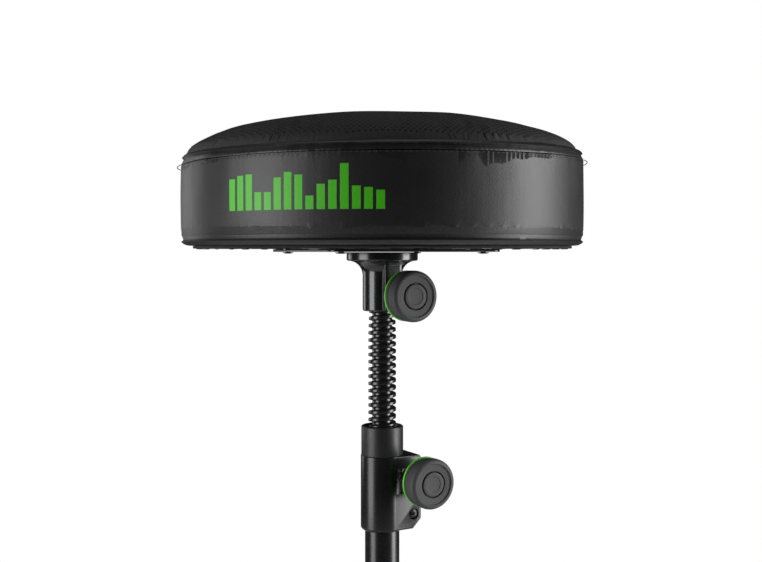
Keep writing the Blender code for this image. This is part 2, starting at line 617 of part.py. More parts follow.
def dome_height(radius, edge_radius, edge_z, height):
    """The cushion's crown: flat in the middle and steep at its rim."""
    return edge_z + height * sqrt(max(0.0, 1 - (radius / edge_radius) ** DOME_POWER))


def dome_profile(edge_radius, edge_z, height, count):
    points = []
    for i in range(count):
        radius = edge_radius * sin(pi / 2 * i / count)
        points.append((radius, dome_height(radius, edge_radius, edge_z, height)))
    return points + [(edge_radius, edge_z)]


def seat(stand):
    clearances = plate_and_screws(stand)
    cover_top = DUST_COVER_Z + DUST_COVER_THICKNESS
    dust_cover = turned("dust_cover", [(0, cover_top), (DUST_COVER_RADIUS, cover_top),
                                       (DUST_COVER_RADIUS, DUST_COVER_Z), (0, DUST_COVER_Z)],
                        FELT, stand, steps=SEAT_STEPS)
    board_radius = SEAT_RADIUS - SKIN - GAP
    board_top = BOARD_Z + BOARD_THICKNESS
    board = turned("seat_board", [(0, board_top), (board_radius, board_top),
                                  (board_radius, BOARD_Z + BAND_ROUND - SKIN),
                                  (board_radius - BAND_ROUND + SKIN, BOARD_Z), (0, BOARD_Z)],
                   PLYWOOD, stand, steps=SEAT_STEPS)
    cut(dust_cover, *clearances)
    cut(board, *clearances)

    inner = SEAT_RADIUS - SKIN
    round_x = SEAT_RADIUS - BAND_ROUND
    round_z = BAND_Z + BAND_ROUND
    seam_top = SEAM_Z - GAP
    hem = SEAT_RADIUS - HEM
    band = [(inner + SEAM_BULGE, seam_top), (SEAT_RADIUS + SEAM_BULGE, seam_top),
            (SEAT_RADIUS, seam_top - 8 * MM)]
    band += arc(round_x, round_z, BAND_ROUND, 0, -90, 3)
    band += [(hem, BAND_Z), (hem, BAND_Z + SKIN)]
    band += arc(round_x, round_z, BAND_ROUND - SKIN, -90, 0, 2)
    band += [(inner, seam_top - 8 * MM)]
    turned("side_band", band, LEATHER, stand, steps=SEAT_STEPS, ring=True)

    trim_top = DOME_Z - GAP
    trim_inner = DOME_RADIUS - SKIN
    trim = [(trim_inner, trim_top), (DOME_RADIUS, trim_top),
            (SEAT_RADIUS - 0.6 * MM, (DOME_Z + SEAM_Z) / 2 + MM),
            (SEAT_RADIUS + SEAM_BULGE, SEAM_Z), (inner, SEAM_Z),
            (inner - 1.6 * MM, (DOME_Z + SEAM_Z) / 2)]
    turned("trim_strip", trim, LEATHER, stand, steps=SEAT_STEPS, ring=True)

    outer = dome_profile(DOME_RADIUS, DOME_Z, DOME_HEIGHT, DOME_STEPS)
    inside = dome_profile(DOME_RADIUS - SKIN, DOME_Z, DOME_HEIGHT - SKIN, DOME_STEPS)
    turned("mesh_cover", outer + inside[::-1], SPACER_MESH, stand, steps=SEAT_STEPS)

    lining = SKIN + 2 * GAP
    foam = dome_profile(DOME_RADIUS - lining, DOME_Z - GAP, DOME_HEIGHT - lining,
                        DOME_STEPS)
    foam += [(DOME_RADIUS - lining, DOME_Z - 2 * MM),
             (inner - 1.6 * MM - GAP, SEAM_Z - MM),
             (inner - 1.6 * MM - GAP, board_top + GAP), (0, board_top + GAP)]
    turned("foam_core", foam, FOAM, stand, steps=SEAT_STEPS)


# ---------------------------------------------------------------- collars and legs

def leg_azimuths():
    return [FIRST_LEG_AZIMUTH + 2 * pi * n / LEG_COUNT for n in range(LEG_COUNT)]


def collar(name, height, tongue, stand, boss_reach, boss_radius, screw_hole):
    """A ring round the tube with a tongue for each leg and a boss for its screw."""
    top, low = height + COLLAR_HALF, height - COLLAR_HALF
    chamfer = MM
    made = turned(name, [(COLLAR_BORE, top), (COLLAR_RADIUS - chamfer, top),
                         (COLLAR_RADIUS, top - chamfer), (COLLAR_RADIUS, low + chamfer),
                         (COLLAR_RADIUS - chamfer, low), (COLLAR_BORE, low)],
                  BLACK_PLASTIC, stand, ring=True)
    nose = TONGUE_NOSE
    root = COLLAR_BORE + 2 * MM
    outline = [(root, -nose)] + arc(PIVOT_RADIUS, 0, nose, -90, 90, 4) + [(root, nose)]
    for number, azimuth in enumerate(leg_azimuths(), 1):
        leaf = flat(f"{name}_tongue_{number}", outline, tongue, None, stand,
                    [circle(PIVOT_RADIUS, 0, PIN_RADIUS + GAP)],
                    location=(0, 0, height), rotation=(pi / 2, 0, azimuth))
        join(made, leaf)
    across = dict(location=(0, 0, height), rotation=(0, pi / 2, COLLAR_KNOB_AZIMUTH))
    join(made, rod(name + "_boss", boss_radius, root, boss_reach, None, stand,
                   sides=CLEARANCE_SIDES, **across))
    cut(made, rod(name + "_screw_hole", screw_hole + GAP, 0, boss_reach + 5 * MM, None, stand,
                  **across))


def strip_outline(length, width, square_end):
    """A flat bar from one pivot: round about it, and round or square at the far end."""
    half = width / 2
    points = arc(0, 0, half, 90, 270, 4)
    if square_end:
        return points + [(length, -half), (length, half)]
    return points + arc(length, 0, half, -90, 90, 4)


def rivet_head(offset):
    """Outline of a rivet's head and the top of its shank, outside a strip at an offset."""
    face = offset + STRIP_THICKNESS / 2 + GAP
    return [(0, face + RIVET_HEAD), (RIVET_HEAD_RADIUS - MM, face + RIVET_HEAD),
            (RIVET_HEAD_RADIUS, face), (PIN_RADIUS, face)]


def rivet(name, offset, parent):
    """A headed pin across a pair of strips, with its heads against their outer faces."""
    head = rivet_head(offset)
    profile = head + [(r, -z) for r, z in head[::-1]]
    turned(name, profile, ZINC, parent, steps=SMALL_STEPS)


def link_rivets(leg_name, leg_axis):
    """Headed stubs through the leg's two strips, in line with the brace's pin."""
    inner = LEG_STRIP_OFFSET - STRIP_THICKNESS / 2
    profile = rivet_head(LEG_STRIP_OFFSET) + [(PIN_RADIUS, inner), (0, inner)]
    for suffix, turn in (("left", 0), ("right", pi)):
        turned(f"{leg_name}_link_rivet_{suffix}", profile, ZINC, leg_axis, steps=SMALL_STEPS,
               location=(LINK, 0, 0), rotation=(turn, 0, 0))


def brace_channel(name, parent):
    """Pressed-steel brace: two flanges, a web under them, and its welded link pin."""
    outline = strip_outline(LINK, BRACE_WIDTH, False)
    holes = [circle(0, 0, PIN_RADIUS + GAP)]
    flanges = [flat(name + suffix, outline, STRIP_THICKNESS, finish, parent, holes,
                    location=(0, 0, side * BRACE_STRIP_OFFSET))
               for suffix, side, finish in (("", 1, BLACK_PAINT), ("_other_flange", -1, None))]
    flush = BRACE_STRIP_OFFSET + STRIP_THICKNESS / 2
    under = -BRACE_WIDTH / 2
    web = block(name + "_web", (BRACE_WEB_INSET, under, -flush),
                (LINK - BRACE_WEB_INSET, under + STRIP_THICKNESS, flush), None, parent)
    pin = rod(name + "_pin", PIN_RADIUS, -flush, flush, None, parent, location=(LINK, 0, 0))
    join(flanges[0], web, flanges[1], pin)


def foot(name, leg_axis):
    """A rubber shoe on the strips' ends, flat on the floor when the legs are open."""
    along = Vector((sin(OPEN_ANGLE), -cos(OPEN_ANGLE)))
    across = Vector((cos(OPEN_ANGLE), sin(OPEN_ANGLE)))
    pivot = Vector((PIVOT_RADIUS, UPPER_PIVOT_Z))
    outline = [((p - pivot).dot(along), (p - pivot).dot(across)) for p in FOOT_CORNERS]
    half = LEG_STRIP_OFFSET + STRIP_THICKNESS / 2 + FOOT_WALL
    shoe = flat(name, outline, 2 * half, FOOT_RUBBER, leg_axis)
    bevel(shoe, 1.2 * MM, 2)
    for suffix, side in (("left", 1), ("right", -1)):
        middle = side * LEG_STRIP_OFFSET
        reach = STRIP_THICKNESS / 2 + GAP
        slot = block(f"{name}_slot_{suffix}",
                     (LEG_LENGTH - 2 * FOOT_SLEEVE, -LEG_WIDTH / 2 - GAP, middle - reach),
                     (LEG_LENGTH + GAP, LEG_WIDTH / 2 + GAP, middle + reach), None, leg_axis)
        cut(shoe, slot)


def legs(stand):
    hole = PIN_RADIUS + GAP
    leg_outline = strip_outline(LEG_LENGTH, LEG_WIDTH, True)
    for number, azimuth in enumerate(leg_azimuths(), 1):
        out = Vector((cos(azimuth), sin(azimuth), 0)) * PIVOT_RADIUS
        leg_axis = axis_empty(f"leg_{number}_axis", out + Vector((0, 0, UPPER_PIVOT_Z)),
                              (pi / 2, pi / 2 - OPEN_ANGLE, azimuth), stand)
        name = f"leg_{number}"
        holes = [circle(0, 0, hole), circle(LINK, 0, hole)]
        for suffix, side in (("left", 1), ("right", -1)):
            flat(f"{name}_strip_{suffix}", leg_outline, STRIP_THICKNESS, BLACK_PAINT, leg_axis,
                 holes, location=(0, 0, side * LEG_STRIP_OFFSET))
        rivet(f"{name}_pivot_rivet", LEG_STRIP_OFFSET, leg_axis)
        link_rivets(name, leg_axis)
        foot(f"{name}_foot", leg_axis)

        brace_axis = axis_empty(f"brace_{number}_axis", out + Vector((0, 0, LOWER_PIVOT_Z)),
                                (pi / 2, OPEN_ANGLE - pi / 2, azimuth), stand)
        brace_channel(f"brace_{number}_channel", brace_axis)
        rivet(f"brace_{number}_pivot_rivet", BRACE_STRIP_OFFSET, brace_axis)


def build():
    stand = axis_empty("stand_axis", (0, AXIS_Y, 0))
    base_tube(stand)
    clamp_housing(stand)
    spindle_nut(stand)
    spindle(stand)
    seat_socket(stand)
    seat(stand)
    knob_axes(stand)
    collar("leg_collar", UPPER_PIVOT_Z, UPPER_TONGUE, stand, COLLAR_BOSS_REACH,
           COLLAR_BOSS_RADIUS, BOLT_RADIUS)
    collar("brace_collar", LOWER_PIVOT_Z, LOWER_TONGUE, stand, COLLAR_RADIUS + MM,
           COLLAR_BOSS_RADIUS - 2 * MM, PIN_RADIUS)
    rod("brace_collar_screw", PIN_RADIUS, TUBE_RADIUS + GAP, COLLAR_RADIUS + 2 * MM, BLACK_STEEL,
        stand, location=(0, 0, LOWER_PIVOT_Z), rotation=(0, pi / 2, COLLAR_KNOB_AZIMUTH))
    legs(stand)


build()
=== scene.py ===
"""Looks of a drum throne: upholstery, lacquered castings, steel, rubber and plastic.

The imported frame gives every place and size; each operator dresses one piece, or one group of like
pieces, of that frame. Units are metres.
"""

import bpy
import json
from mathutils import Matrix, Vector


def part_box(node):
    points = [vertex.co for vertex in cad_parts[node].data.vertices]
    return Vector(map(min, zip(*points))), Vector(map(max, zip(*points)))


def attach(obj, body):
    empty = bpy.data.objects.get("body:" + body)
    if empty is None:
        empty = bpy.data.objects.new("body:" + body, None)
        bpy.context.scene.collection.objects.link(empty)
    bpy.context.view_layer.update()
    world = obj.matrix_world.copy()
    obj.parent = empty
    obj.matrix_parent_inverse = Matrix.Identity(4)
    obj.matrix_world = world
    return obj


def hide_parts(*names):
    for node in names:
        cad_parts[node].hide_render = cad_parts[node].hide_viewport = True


bl_info = {
    "name": "Drum Throne Looks",
    "version": (1, 0, 0),
    "blender": (4, 5, 0),
    "location": "View3D > Sidebar > Drum Throne",
    "description": "Dresses a drum throne's frame in upholstery, lacquer, rubber and steel",
    "category": "Object",
}

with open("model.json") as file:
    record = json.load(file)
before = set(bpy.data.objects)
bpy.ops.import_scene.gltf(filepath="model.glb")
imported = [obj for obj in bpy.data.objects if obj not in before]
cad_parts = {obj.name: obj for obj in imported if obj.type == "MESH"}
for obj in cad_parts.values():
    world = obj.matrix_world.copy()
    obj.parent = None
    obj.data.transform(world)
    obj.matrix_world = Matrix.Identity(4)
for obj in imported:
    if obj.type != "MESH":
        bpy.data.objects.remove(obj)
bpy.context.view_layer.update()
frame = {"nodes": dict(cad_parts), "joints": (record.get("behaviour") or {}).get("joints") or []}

import json
import random
from bisect import bisect_left
from math import atan2, cos, exp, hypot, pi, radians, sin, sqrt, tan

import bmesh
import bpy
from bpy.props import FloatProperty, FloatVectorProperty, IntProperty, PointerProperty
from mathutils import Matrix, Vector, noise
from mathutils.bvhtree import BVHTree

MM = 0.001


# ---------------------------------------------------------------- places, from the frame

def low(node):
    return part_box(node)[0].z


def top(node):
    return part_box(node)[1].z


def middle(node):
    lowest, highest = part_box(node)
    return (lowest + highest) / 2


def reach(node):
    """Radius of a round node, from its width along X."""
    lowest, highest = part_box(node)
    return (highest.x - lowest.x) / 2


def joint(name):
    return next(j for j in frame["joints"] if j["name"] == name)


def joint_place(name):
    return Vector(joint(name)["pos_m"])


def frame_matrix(place, x, y, z):
    """A matrix that carries the local axes onto three directions, at a place."""
    turn = Matrix((x, y, z)).transposed().to_4x4()
    return Matrix.Translation(place) @ turn


def knob_matrix(name):
    """Local Z points out of the knob's face, along its bolt, and z = 0 is the knob's back."""
    out = Vector(joint(name)["axis"]).normalized()
    down = Vector((0, 0, -1))
    return frame_matrix(joint_place(name), down, out.cross(down), out)


def arm_matrix(pivot, toward):
    """Local X runs along a leg or brace and local Z lies along its rivets."""
    along = (toward - pivot).normalized()
    across = along.cross(Vector((0, 0, 1))).normalized()
    return frame_matrix(pivot, along, across.cross(along), across)


TUBE_AXIS = Vector((middle("base_tube").x, middle("base_tube").y, 0))
ON_AXIS = Matrix.Translation(TUBE_AXIS)
KNOB_OUT = Vector(joint("seat_knob_turn")["axis"])
KNOB_AZIMUTH = atan2(KNOB_OUT.y, KNOB_OUT.x)
LUG_AZIMUTH = KNOB_AZIMUTH + pi / 2
LEGS = (1, 2, 3)


SEAT_TOP = top("mesh_cover")
DOME_Z = low("mesh_cover")
DOME_RADIUS = reach("mesh_cover")
SEAM_Z = low("trim_strip")
SEAM_RADIUS = reach("side_band")
SEAT_RADIUS = SEAM_RADIUS - 1 * MM
BAND_Z = low("side_band")
DUST_COVER_RADIUS = reach("dust_cover")
PLATE_Z = low("mounting_plate")
SOCKET_Z = low("seat_socket")
NUT_TOP = top("spindle_nut")
HOUSING_Z = low("clamp_housing")
NUT_Z = top("clamp_housing")
TUBE_RADIUS = reach("base_tube")

CLEARANCE = 0.3 * MM                # between pieces that touch
BORE = TUBE_RADIUS + CLEARANCE      # of the housing and the collars
ROLL = 8 * MM                       # radius of the band's turn at its foot
STRIP = 2.5 * MM                    # thickness of the strips of legs and braces
LEG_LENGTH = 253.6 * MM
LEG_ANGLE = radians(52)             # from vertical
LEG_STRIP_OFFSET = 7.95 * MM
BRACE_STRIP_OFFSET = 4.95 * MM
LINK = 100 * MM                     # pivot to pivot, on a leg and on a brace
PIN_HOLE = 3.3 * MM


# ---------------------------------------------------------------- shader arithmetic

class Wire:
    """A node socket that takes part in arithmetic: each operator adds a Math node."""

    def __init__(self, finish, socket):
        self.finish = finish
        self.socket = socket

    def math(self, operation, *others):
        values = dict(enumerate((self, *others)))
        return self.finish.node("ShaderNodeMath", {"operation": operation}, values)

    def reflected(self, operation, other):
        return self.finish.node("ShaderNodeMath", {"operation": operation}, {0: other, 1: self})

    def __add__(self, other):
        return self.math('ADD', other)

    __radd__ = __add__

    def __sub__(self, other):
        return self.math('SUBTRACT', other)

    def __rsub__(self, other):
        return self.reflected('SUBTRACT', other)

    def __mul__(self, other):
        return self.math('MULTIPLY', other)

    __rmul__ = __mul__

    def __truediv__(self, other):
        return self.math('DIVIDE', other)

    def __rtruediv__(self, other):
        return self.reflected('DIVIDE', other)

    def __pow__(self, other):
        return self.math('POWER', other)

    def __lt__(self, other):
        return self.math('LESS_THAN', other)

    def __gt__(self, other):
        return self.math('GREATER_THAN', other)


class Finish:
    """A material being made: nodes are added by one method and end in its Principled shader."""

    def __init__(self, name, colour, roughness, **constants):
        self.material = bpy.data.materials.new(name)
        self.material.use_nodes = True
        self.tree = self.material.node_tree
        self.shader = self.tree.nodes["Principled BSDF"]
        self.set("Base Color", (*colour, 1.0))
        self.set("Roughness", roughness)
        for name, value in constants.items():
            self.set(name.replace("_", " "), value)

    def plug(self, socket, value):
        if isinstance(value, Wire):
            self.tree.links.new(value.socket, socket)
        else:
            socket.default_value = value

    def set(self, name, value):
        self.plug(self.shader.inputs[name], value)

    def node(self, kind, settings, sockets, output=0):
        """Add a node: its settings first, then the values or links of its sockets."""
        made = self.tree.nodes.new(kind)
        for key, value in settings.items():
            if key == "stops":
                for place, colour in value[2:]:
                    made.color_ramp.elements.new(place)
                for element, (place, colour) in zip(made.color_ramp.elements, value):
                    element.position = place
                    element.color = (*colour, 1.0)
            else:
                setattr(made, key, value)
        for key, value in sockets.items():
            self.plug(made.inputs[key], value)
        return Wire(self, made.outputs[output])

    def place(self, turn=(0, 0, 0), centre=(0, 0, 0), stretch=(1, 1, 1)):
        """Object coordinates, moved to a centre, turned and stretched."""
        here = self.node("ShaderNodeTexCoord", {}, {}, "Object")
        shift = [-c * s for c, s in zip(centre, stretch)]
        return self.node("ShaderNodeMapping", {"vector_type": 'POINT'},
                         {"Vector": here, "Location": shift, "Rotation": turn,
                          "Scale": stretch})

    def axes(self, vector):
        split = self.tree.nodes.new("ShaderNodeSeparateXYZ")
        self.tree.links.new(vector.socket, split.inputs[0])
        return [Wire(self, split.outputs[i]) for i in range(3)]

    def noise(self, vector, per_metre, detail=3.0, roughness=0.5):
        return self.node("ShaderNodeTexNoise", {}, {"Vector": vector, "Scale": per_metre,
                                                    "Detail": detail, "Roughness": roughness})

    def cells(self, vector, per_metre, feature='F1', randomness=1.0):
        return self.node("ShaderNodeTexVoronoi", {"feature": feature},
                         {"Vector": vector, "Scale": per_metre, "Randomness": randomness})

    def smooth(self, value, start, end):
        """0 before start, 1 after end, and a smooth step between."""
        return self.node("ShaderNodeMapRange", {"interpolation_type": 'SMOOTHSTEP'},
                         {"Value": value, "From Min": start, "From Max": end})

    def mix(self, factor, first, second):
        return self.node("ShaderNodeMix", {"data_type": 'RGBA'},
                         {0: factor, 6: self.colour(first), 7: self.colour(second)}, 2)

    def colour(self, value):
        return value if isinstance(value, Wire) else (*value, 1.0)

    def bump(self, height, distance, strength=1.0, under=None):
        sockets = {"Height": height, "Distance": distance, "Strength": strength}
        if under is not None:
            sockets["Normal"] = under
        return self.node("ShaderNodeBump", {}, sockets)


# ---------------------------------------------------------------- finishes

FINISHES = {}


def finish(name):
    """A finish by its maker's name, made the first time that it is asked for."""
    if name not in FINISHES:
        FINISHES[name] = FINISH_MAKERS[name]().material
    return FINISHES[name]


def powder_coat():
    """Satin black powder coat with a fine orange peel and rubbed patches."""
    made = Finish("powder_coat", (0.011, 0.011, 0.012), 0.36, Specular_IOR_Level=0.5)
    place = made.place()
    rubbed = made.noise(place, 35, 4)
    made.set("Roughness", 0.23 + 0.09 * rubbed)
    made.set("Base Color", made.mix(rubbed, (0.006, 0.006, 0.007), (0.010, 0.010, 0.011)))
    made.set("Normal", made.bump(made.noise(place, 1100, 2), 0.00005, 0.35))
    return made


def gloss_lacquer():
    """Gloss black lacquer over a casting, with faint handling marks."""
    made = Finish("gloss_lacquer", (0.008, 0.008, 0.009), 0.2, Coat_Weight=0.5,
                  Coat_Roughness=0.12)
    place = made.place()
    handled = made.noise(place, 60, 5, 0.6)
    made.set("Roughness", 0.17 + 0.14 * handled)
    made.set("Base Color", made.mix(handled, (0.006, 0.006, 0.007), (0.011, 0.011, 0.012)))
    made.set("Normal", made.bump(made.noise(place, 260, 2), 0.0001, 0.18))
    return made


def black_thread_steel():
    """Gloss black screw thread, worn brighter in rubbed streaks."""
    made = Finish("black_thread_steel", (0.010, 0.010, 0.011), 0.24, Metallic=0.0,
                  Coat_Weight=0.35, Coat_Roughness=0.15)
    place = made.place(stretch=(1, 1, 6))
    worn = made.smooth(made.noise(place, 90, 4, 0.6), 0.62, 0.8)
    made.set("Roughness", 0.22 + 0.12 * made.noise(place, 500, 2))
    made.set("Base Color", made.mix(worn, (0.009, 0.009, 0.010), (0.030, 0.030, 0.031)))
    made.set("Normal", made.bump(made.noise(place, 900, 2), 0.00004, 0.3))
    return made


def black_nylon():
    """Moulded black nylon: satin, with a fine spark-eroded grain."""
    made = Finish("black_nylon", (0.013, 0.013, 0.014), 0.42)
    place = made.place()
    made.set("Roughness", 0.36 + 0.12 * made.noise(place, 120, 3))
    made.set("Base Color", made.mix(made.noise(place, 25, 3), (0.010, 0.010, 0.011),
                                    (0.016, 0.016, 0.017)))
    made.set("Normal", made.bump(made.noise(place, 2200, 2), 0.00004, 0.5))
    return made


def zinc_plate():
    """Zinc-plated steel with a cloudy, slightly yellow passivation."""
    made = Finish("zinc_plate", (0.5, 0.5, 0.5), 0.3, Metallic=1.0)
    place = made.place()
    cloud = made.noise(place, 220, 4)
    made.set("Base Color", made.mix(cloud, (0.36, 0.36, 0.37), (0.60, 0.59, 0.55)))
    made.set("Roughness", 0.24 + 0.22 * cloud)
    made.set("Normal", made.bump(made.noise(place, 1500, 2), 0.00003, 0.4))
    return made


def black_oxide():
    """Blackened screw steel."""
    made = Finish("black_oxide", (0.03, 0.03, 0.032), 0.32, Metallic=0.8)
    place = made.place()
    rubbed = made.smooth(made.noise(place, 600, 3), 0.45, 0.75)
    made.set("Base Color", made.mix(rubbed, (0.022, 0.022, 0.024), (0.09, 0.09, 0.09)))
    made.set("Roughness", 0.26 + 0.16 * rubbed)
    return made


def grip_rubber():
    """Soft dark grey knob rubber with a velvety grain and paler, dusty patches."""
    settings = hardware()
    made = Finish("grip_rubber", tuple(settings.grip_colour), 0.6)
    place = made.place()
    dust = made.noise(place, 90, 4, 0.6)
    shade = tuple(settings.grip_colour)
    made.set("Base Color", made.mix(dust, tuple(0.82 * c for c in shade),
                                    tuple(1.18 * c for c in shade)))
    made.set("Roughness", 0.52 + 0.2 * dust)
    made.set("Normal", made.bump(made.noise(place, 1800, 3), 0.00006, 0.45))
    return made


def foot_rubber():
    """Matt black rubber with floor dust in its grain."""
    made = Finish("foot_rubber", (0.014, 0.014, 0.014), 0.75)
    place = made.place()
    dust = made.noise(place, 140, 4, 0.65)
    made.set("Base Color", made.mix(dust ** 2, (0.012, 0.012, 0.012), (0.05, 0.048, 0.045)))
    made.set("Roughness", 0.66 + 0.2 * dust)
    made.set("Normal", made.bump(made.noise(place, 1200, 3), 0.0001, 0.5))
    return made


def green_plastic():
    """Bright green moulded plastic, a little cloudy under its gloss."""
    shade = tuple(hardware().ring_colour)
    made = Finish("green_plastic", shade, 0.35)
    place = made.place()
    cloud = made.noise(place, 300, 3)
    made.set("Base Color", made.mix(cloud, tuple(0.9 * c for c in shade),
                                    tuple(min(1, 1.1 * c) for c in shade)))
    made.set("Roughness", 0.3 + 0.12 * cloud)
    return made


def leather_grain(made, place):
    """Height of the fine pebbled grain that is pressed into imitation leather."""
    pebbles = made.cells(place, 1300, 'SMOOTH_F1')
    creases = made.noise(place, 620, 4, 0.6)
    return pebbles * 0.7 + creases * 0.5


def imitation_leather():
    """Plain black imitation leather."""
    made = Finish("imitation_leather", (0.012, 0.012, 0.013), 0.42)
    place = made.place()
    patches = made.noise(place, 22, 3)
    made.set("Base Color", made.mix(patches, (0.010, 0.010, 0.011), (0.015, 0.015, 0.016)))
    made.set("Roughness", 0.38 + 0.12 * patches)
    made.set("Normal", made.bump(leather_grain(made, place), 0.0002, 0.5))
    return made


def printed_leather():
    """The side band's leather, with a plain row of upright bars printed on its front."""
    settings = upholstery()
    made = Finish("printed_leather", (0.012, 0.012, 0.013), 0.42)
    place = made.place()
    x, y, z = made.axes(made.place(centre=(TUBE_AXIS.x, TUBE_AXIS.y, BAND_Z)))
    azimuth = y.math('ARCTAN2', x)
    along = (azimuth - settings.print_start) * (settings.print_bars / settings.print_span)
    number = along.math('FLOOR')
    across = along.math('FRACT')
    height = 0.62 + 0.26 * (number * 1.31).math('SINE') + 0.12 * (number * 2.9 + 1).math('SINE')
    rise = (z - settings.print_low) / settings.print_height
    inside = (along > 0) * (along < settings.print_bars)
    bar = (across > 0.14) * (across < 0.86) * (rise > 0) * (rise < height) * inside
    patches = made.noise(place, 22, 3)
    leather = made.mix(patches, (0.010, 0.010, 0.011), (0.015, 0.015, 0.016))
    made.set("Base Color", made.mix(bar, leather, tuple(settings.print_colour)))
    made.set("Roughness", 0.38 + 0.12 * patches + 0.06 * bar)
    made.set("Normal", made.bump(leather_grain(made, place) + bar * 0.2, 0.0002, 0.5))
    return made


def spacer_knit():
    """The seat's knitted mesh: matt black yarn with a tight rib."""
    made = Finish("spacer_knit", (0.010, 0.010, 0.010), 0.8)
    place = made.place()
    yarn = made.noise(made.place(stretch=(1, 4, 1)), 900, 3, 0.6)
    made.set("Base Color", made.mix(yarn, (0.006, 0.006, 0.006), (0.022, 0.022, 0.022)))
    made.set("Roughness", 0.7 + 0.2 * made.noise(place, 300, 2))
    made.set("Normal", made.bump(yarn, 0.0002, 0.6))
    return made


def spacer_pit_shade():
    """Painted shade in the mesh's holes: near-black and matt, darker than the yarn, on the walls
    and bottoms of the pits.
    """
    made = Finish("spacer_pit_shade", (0.002, 0.002, 0.002), 0.95)
    made.set("Base Color", made.mix(made.noise(made.place(), 1500, 2),
                                    (0.001, 0.001, 0.001), (0.004, 0.004, 0.004)))
    return made


def sewing_thread():
    """Bonded black thread with a twist."""
    made = Finish("sewing_thread", (0.02, 0.02, 0.02), 0.5)
    place = made.place()
    twist = made.noise(place, 2600, 2)
    made.set("Base Color", made.mix(twist, (0.012, 0.012, 0.012), (0.035, 0.035, 0.035)))
    made.set("Normal", made.bump(twist, 0.0001, 0.5))
    return made


def dust_cloth():
    """Black non-woven cloth: matted fibres."""
    made = Finish("dust_cloth", (0.010, 0.010, 0.010), 0.9)
    place = made.place(stretch=(1, 1, 0.2))
    fibres = made.noise(place, 700, 5, 0.75)
    made.set("Base Color", made.mix(fibres, (0.004, 0.004, 0.004), (0.024, 0.024, 0.024)))
    made.set("Roughness", 0.8 + 0.15 * fibres)
    made.set("Normal", made.bump(fibres, 0.0003, 0.7))
    return made


def seat_foam():
    """Grey upholstery foam with open cells."""
    made = Finish("seat_foam", (0.25, 0.25, 0.24), 0.95)
    place = made.place()
    pores = made.cells(place, 900)
    made.set("Base Color", made.mix(pores, (0.12, 0.12, 0.11), (0.32, 0.32, 0.30)))
    made.set("Normal", made.bump(pores, 0.0004, 0.8))
    return made


def plywood():
    """Birch plywood: long grain with faint pores."""
    made = Finish("plywood", (0.55, 0.40, 0.24), 0.6)
    place = made.place(stretch=(1, 12, 12))
    grain = made.noise(place, 12, 5, 0.6)
    made.set("Base Color", made.mix(grain, (0.42, 0.29, 0.16), (0.62, 0.47, 0.30)))
    made.set("Roughness", 0.5 + 0.25 * grain)
    return made


FINISH_MAKERS = {
    made.__name__: made for made in (
        powder_coat, gloss_lacquer, black_thread_steel, black_nylon, zinc_plate, black_oxide,
        grip_rubber, foot_rubber, green_plastic, imitation_leather, printed_leather,
        spacer_knit, spacer_pit_shade, sewing_thread, dust_cloth, seat_foam, plywood)
}


# ---------------------------------------------------------------- mesh tools

def filleted(corners, closed=False, steps=4):
    """Outline points from corners (x, y), or (x, y, radius) where the corner is rounded."""
    points = []
    count = len(corners)
    for i, corner in enumerate(corners):
        here = Vector(corner[:2])
        at_end = not closed and i in (0, count - 1)
        if len(corner) == 2 or at_end:
            points.append(here)
            continue
        back = (Vector(corners[i - 1][:2]) - here).normalized()
        on = (Vector(corners[(i + 1) % count][:2]) - here).normalized()
        half = back.angle(on) / 2
        centre = here + (back + on).normalized() * corner[2] / sin(half)
        start = here + back * corner[2] / tan(half) - centre
        end = here + on * corner[2] / tan(half) - centre
        turn = -start.angle_signed(end)
        points += [centre + Matrix.Rotation(turn * k / steps, 2) @ start
                   for k in range(steps + 1)]
    return points


def spun(points, steps=96, ring=False):
    """Turn (radius, height) points about Z."""
    shape = bmesh.new()
    verts = [shape.verts.new((r, 0, z)) for r, z in points]
    edges = [shape.edges.new(pair) for pair in zip(verts, verts[1:])]
    if ring:
        edges.append(shape.edges.new((verts[-1], verts[0])))
    bmesh.ops.spin(shape, geom=verts + edges, cent=(0, 0, 0), axis=(0, 0, 1), dvec=(0, 0, 0),
                   angle=2 * pi, steps=steps, use_merge=True)
    return closed_up(shape)


def closed_up(shape):
    bmesh.ops.remove_doubles(shape, verts=shape.verts, dist=0.000002)
    bmesh.ops.recalc_face_normals(shape, faces=shape.faces)
    return shape


def slab(outline, lowest, highest):
    """A flat outline in XY, raised between two heights."""
    shape = bmesh.new()
    face = shape.faces.new([shape.verts.new((x, y, lowest)) for x, y in outline])
    raised = bmesh.ops.extrude_face_region(shape, geom=[face])["geom"]
    lifted = [v for v in raised if isinstance(v, bmesh.types.BMVert)]
    bmesh.ops.translate(shape, verts=lifted, vec=(0, 0, highest - lowest))
    return closed_up(shape)


def rod(radius, lowest, highest, sides=32):
    shape = bmesh.new()
    bmesh.ops.create_cone(shape, cap_ends=True, segments=sides, radius1=radius, radius2=radius,
                          depth=highest - lowest,
                          matrix=Matrix.Translation((0, 0, (lowest + highest) / 2)))
    return shape


def box(lowest, highest):
    shape = bmesh.new()
    size = Vector(highest) - Vector(lowest)
    centre = (Vector(highest) + Vector(lowest)) / 2
    bmesh.ops.create_cube(shape, size=1, matrix=Matrix.Translation(centre)
                          @ Matrix.Diagonal(size.to_4d()))
    return shape


def turned_to(shape, matrix):
    shape.transform(matrix)
    return shape


def added(shape, other):
    """Put another shape beside this one in the same mesh."""
    mesh = bpy.data.meshes.new("added")
    other.to_mesh(mesh)
    other.free()
    shape.from_mesh(mesh)
    bpy.data.meshes.remove(mesh)
    return shape


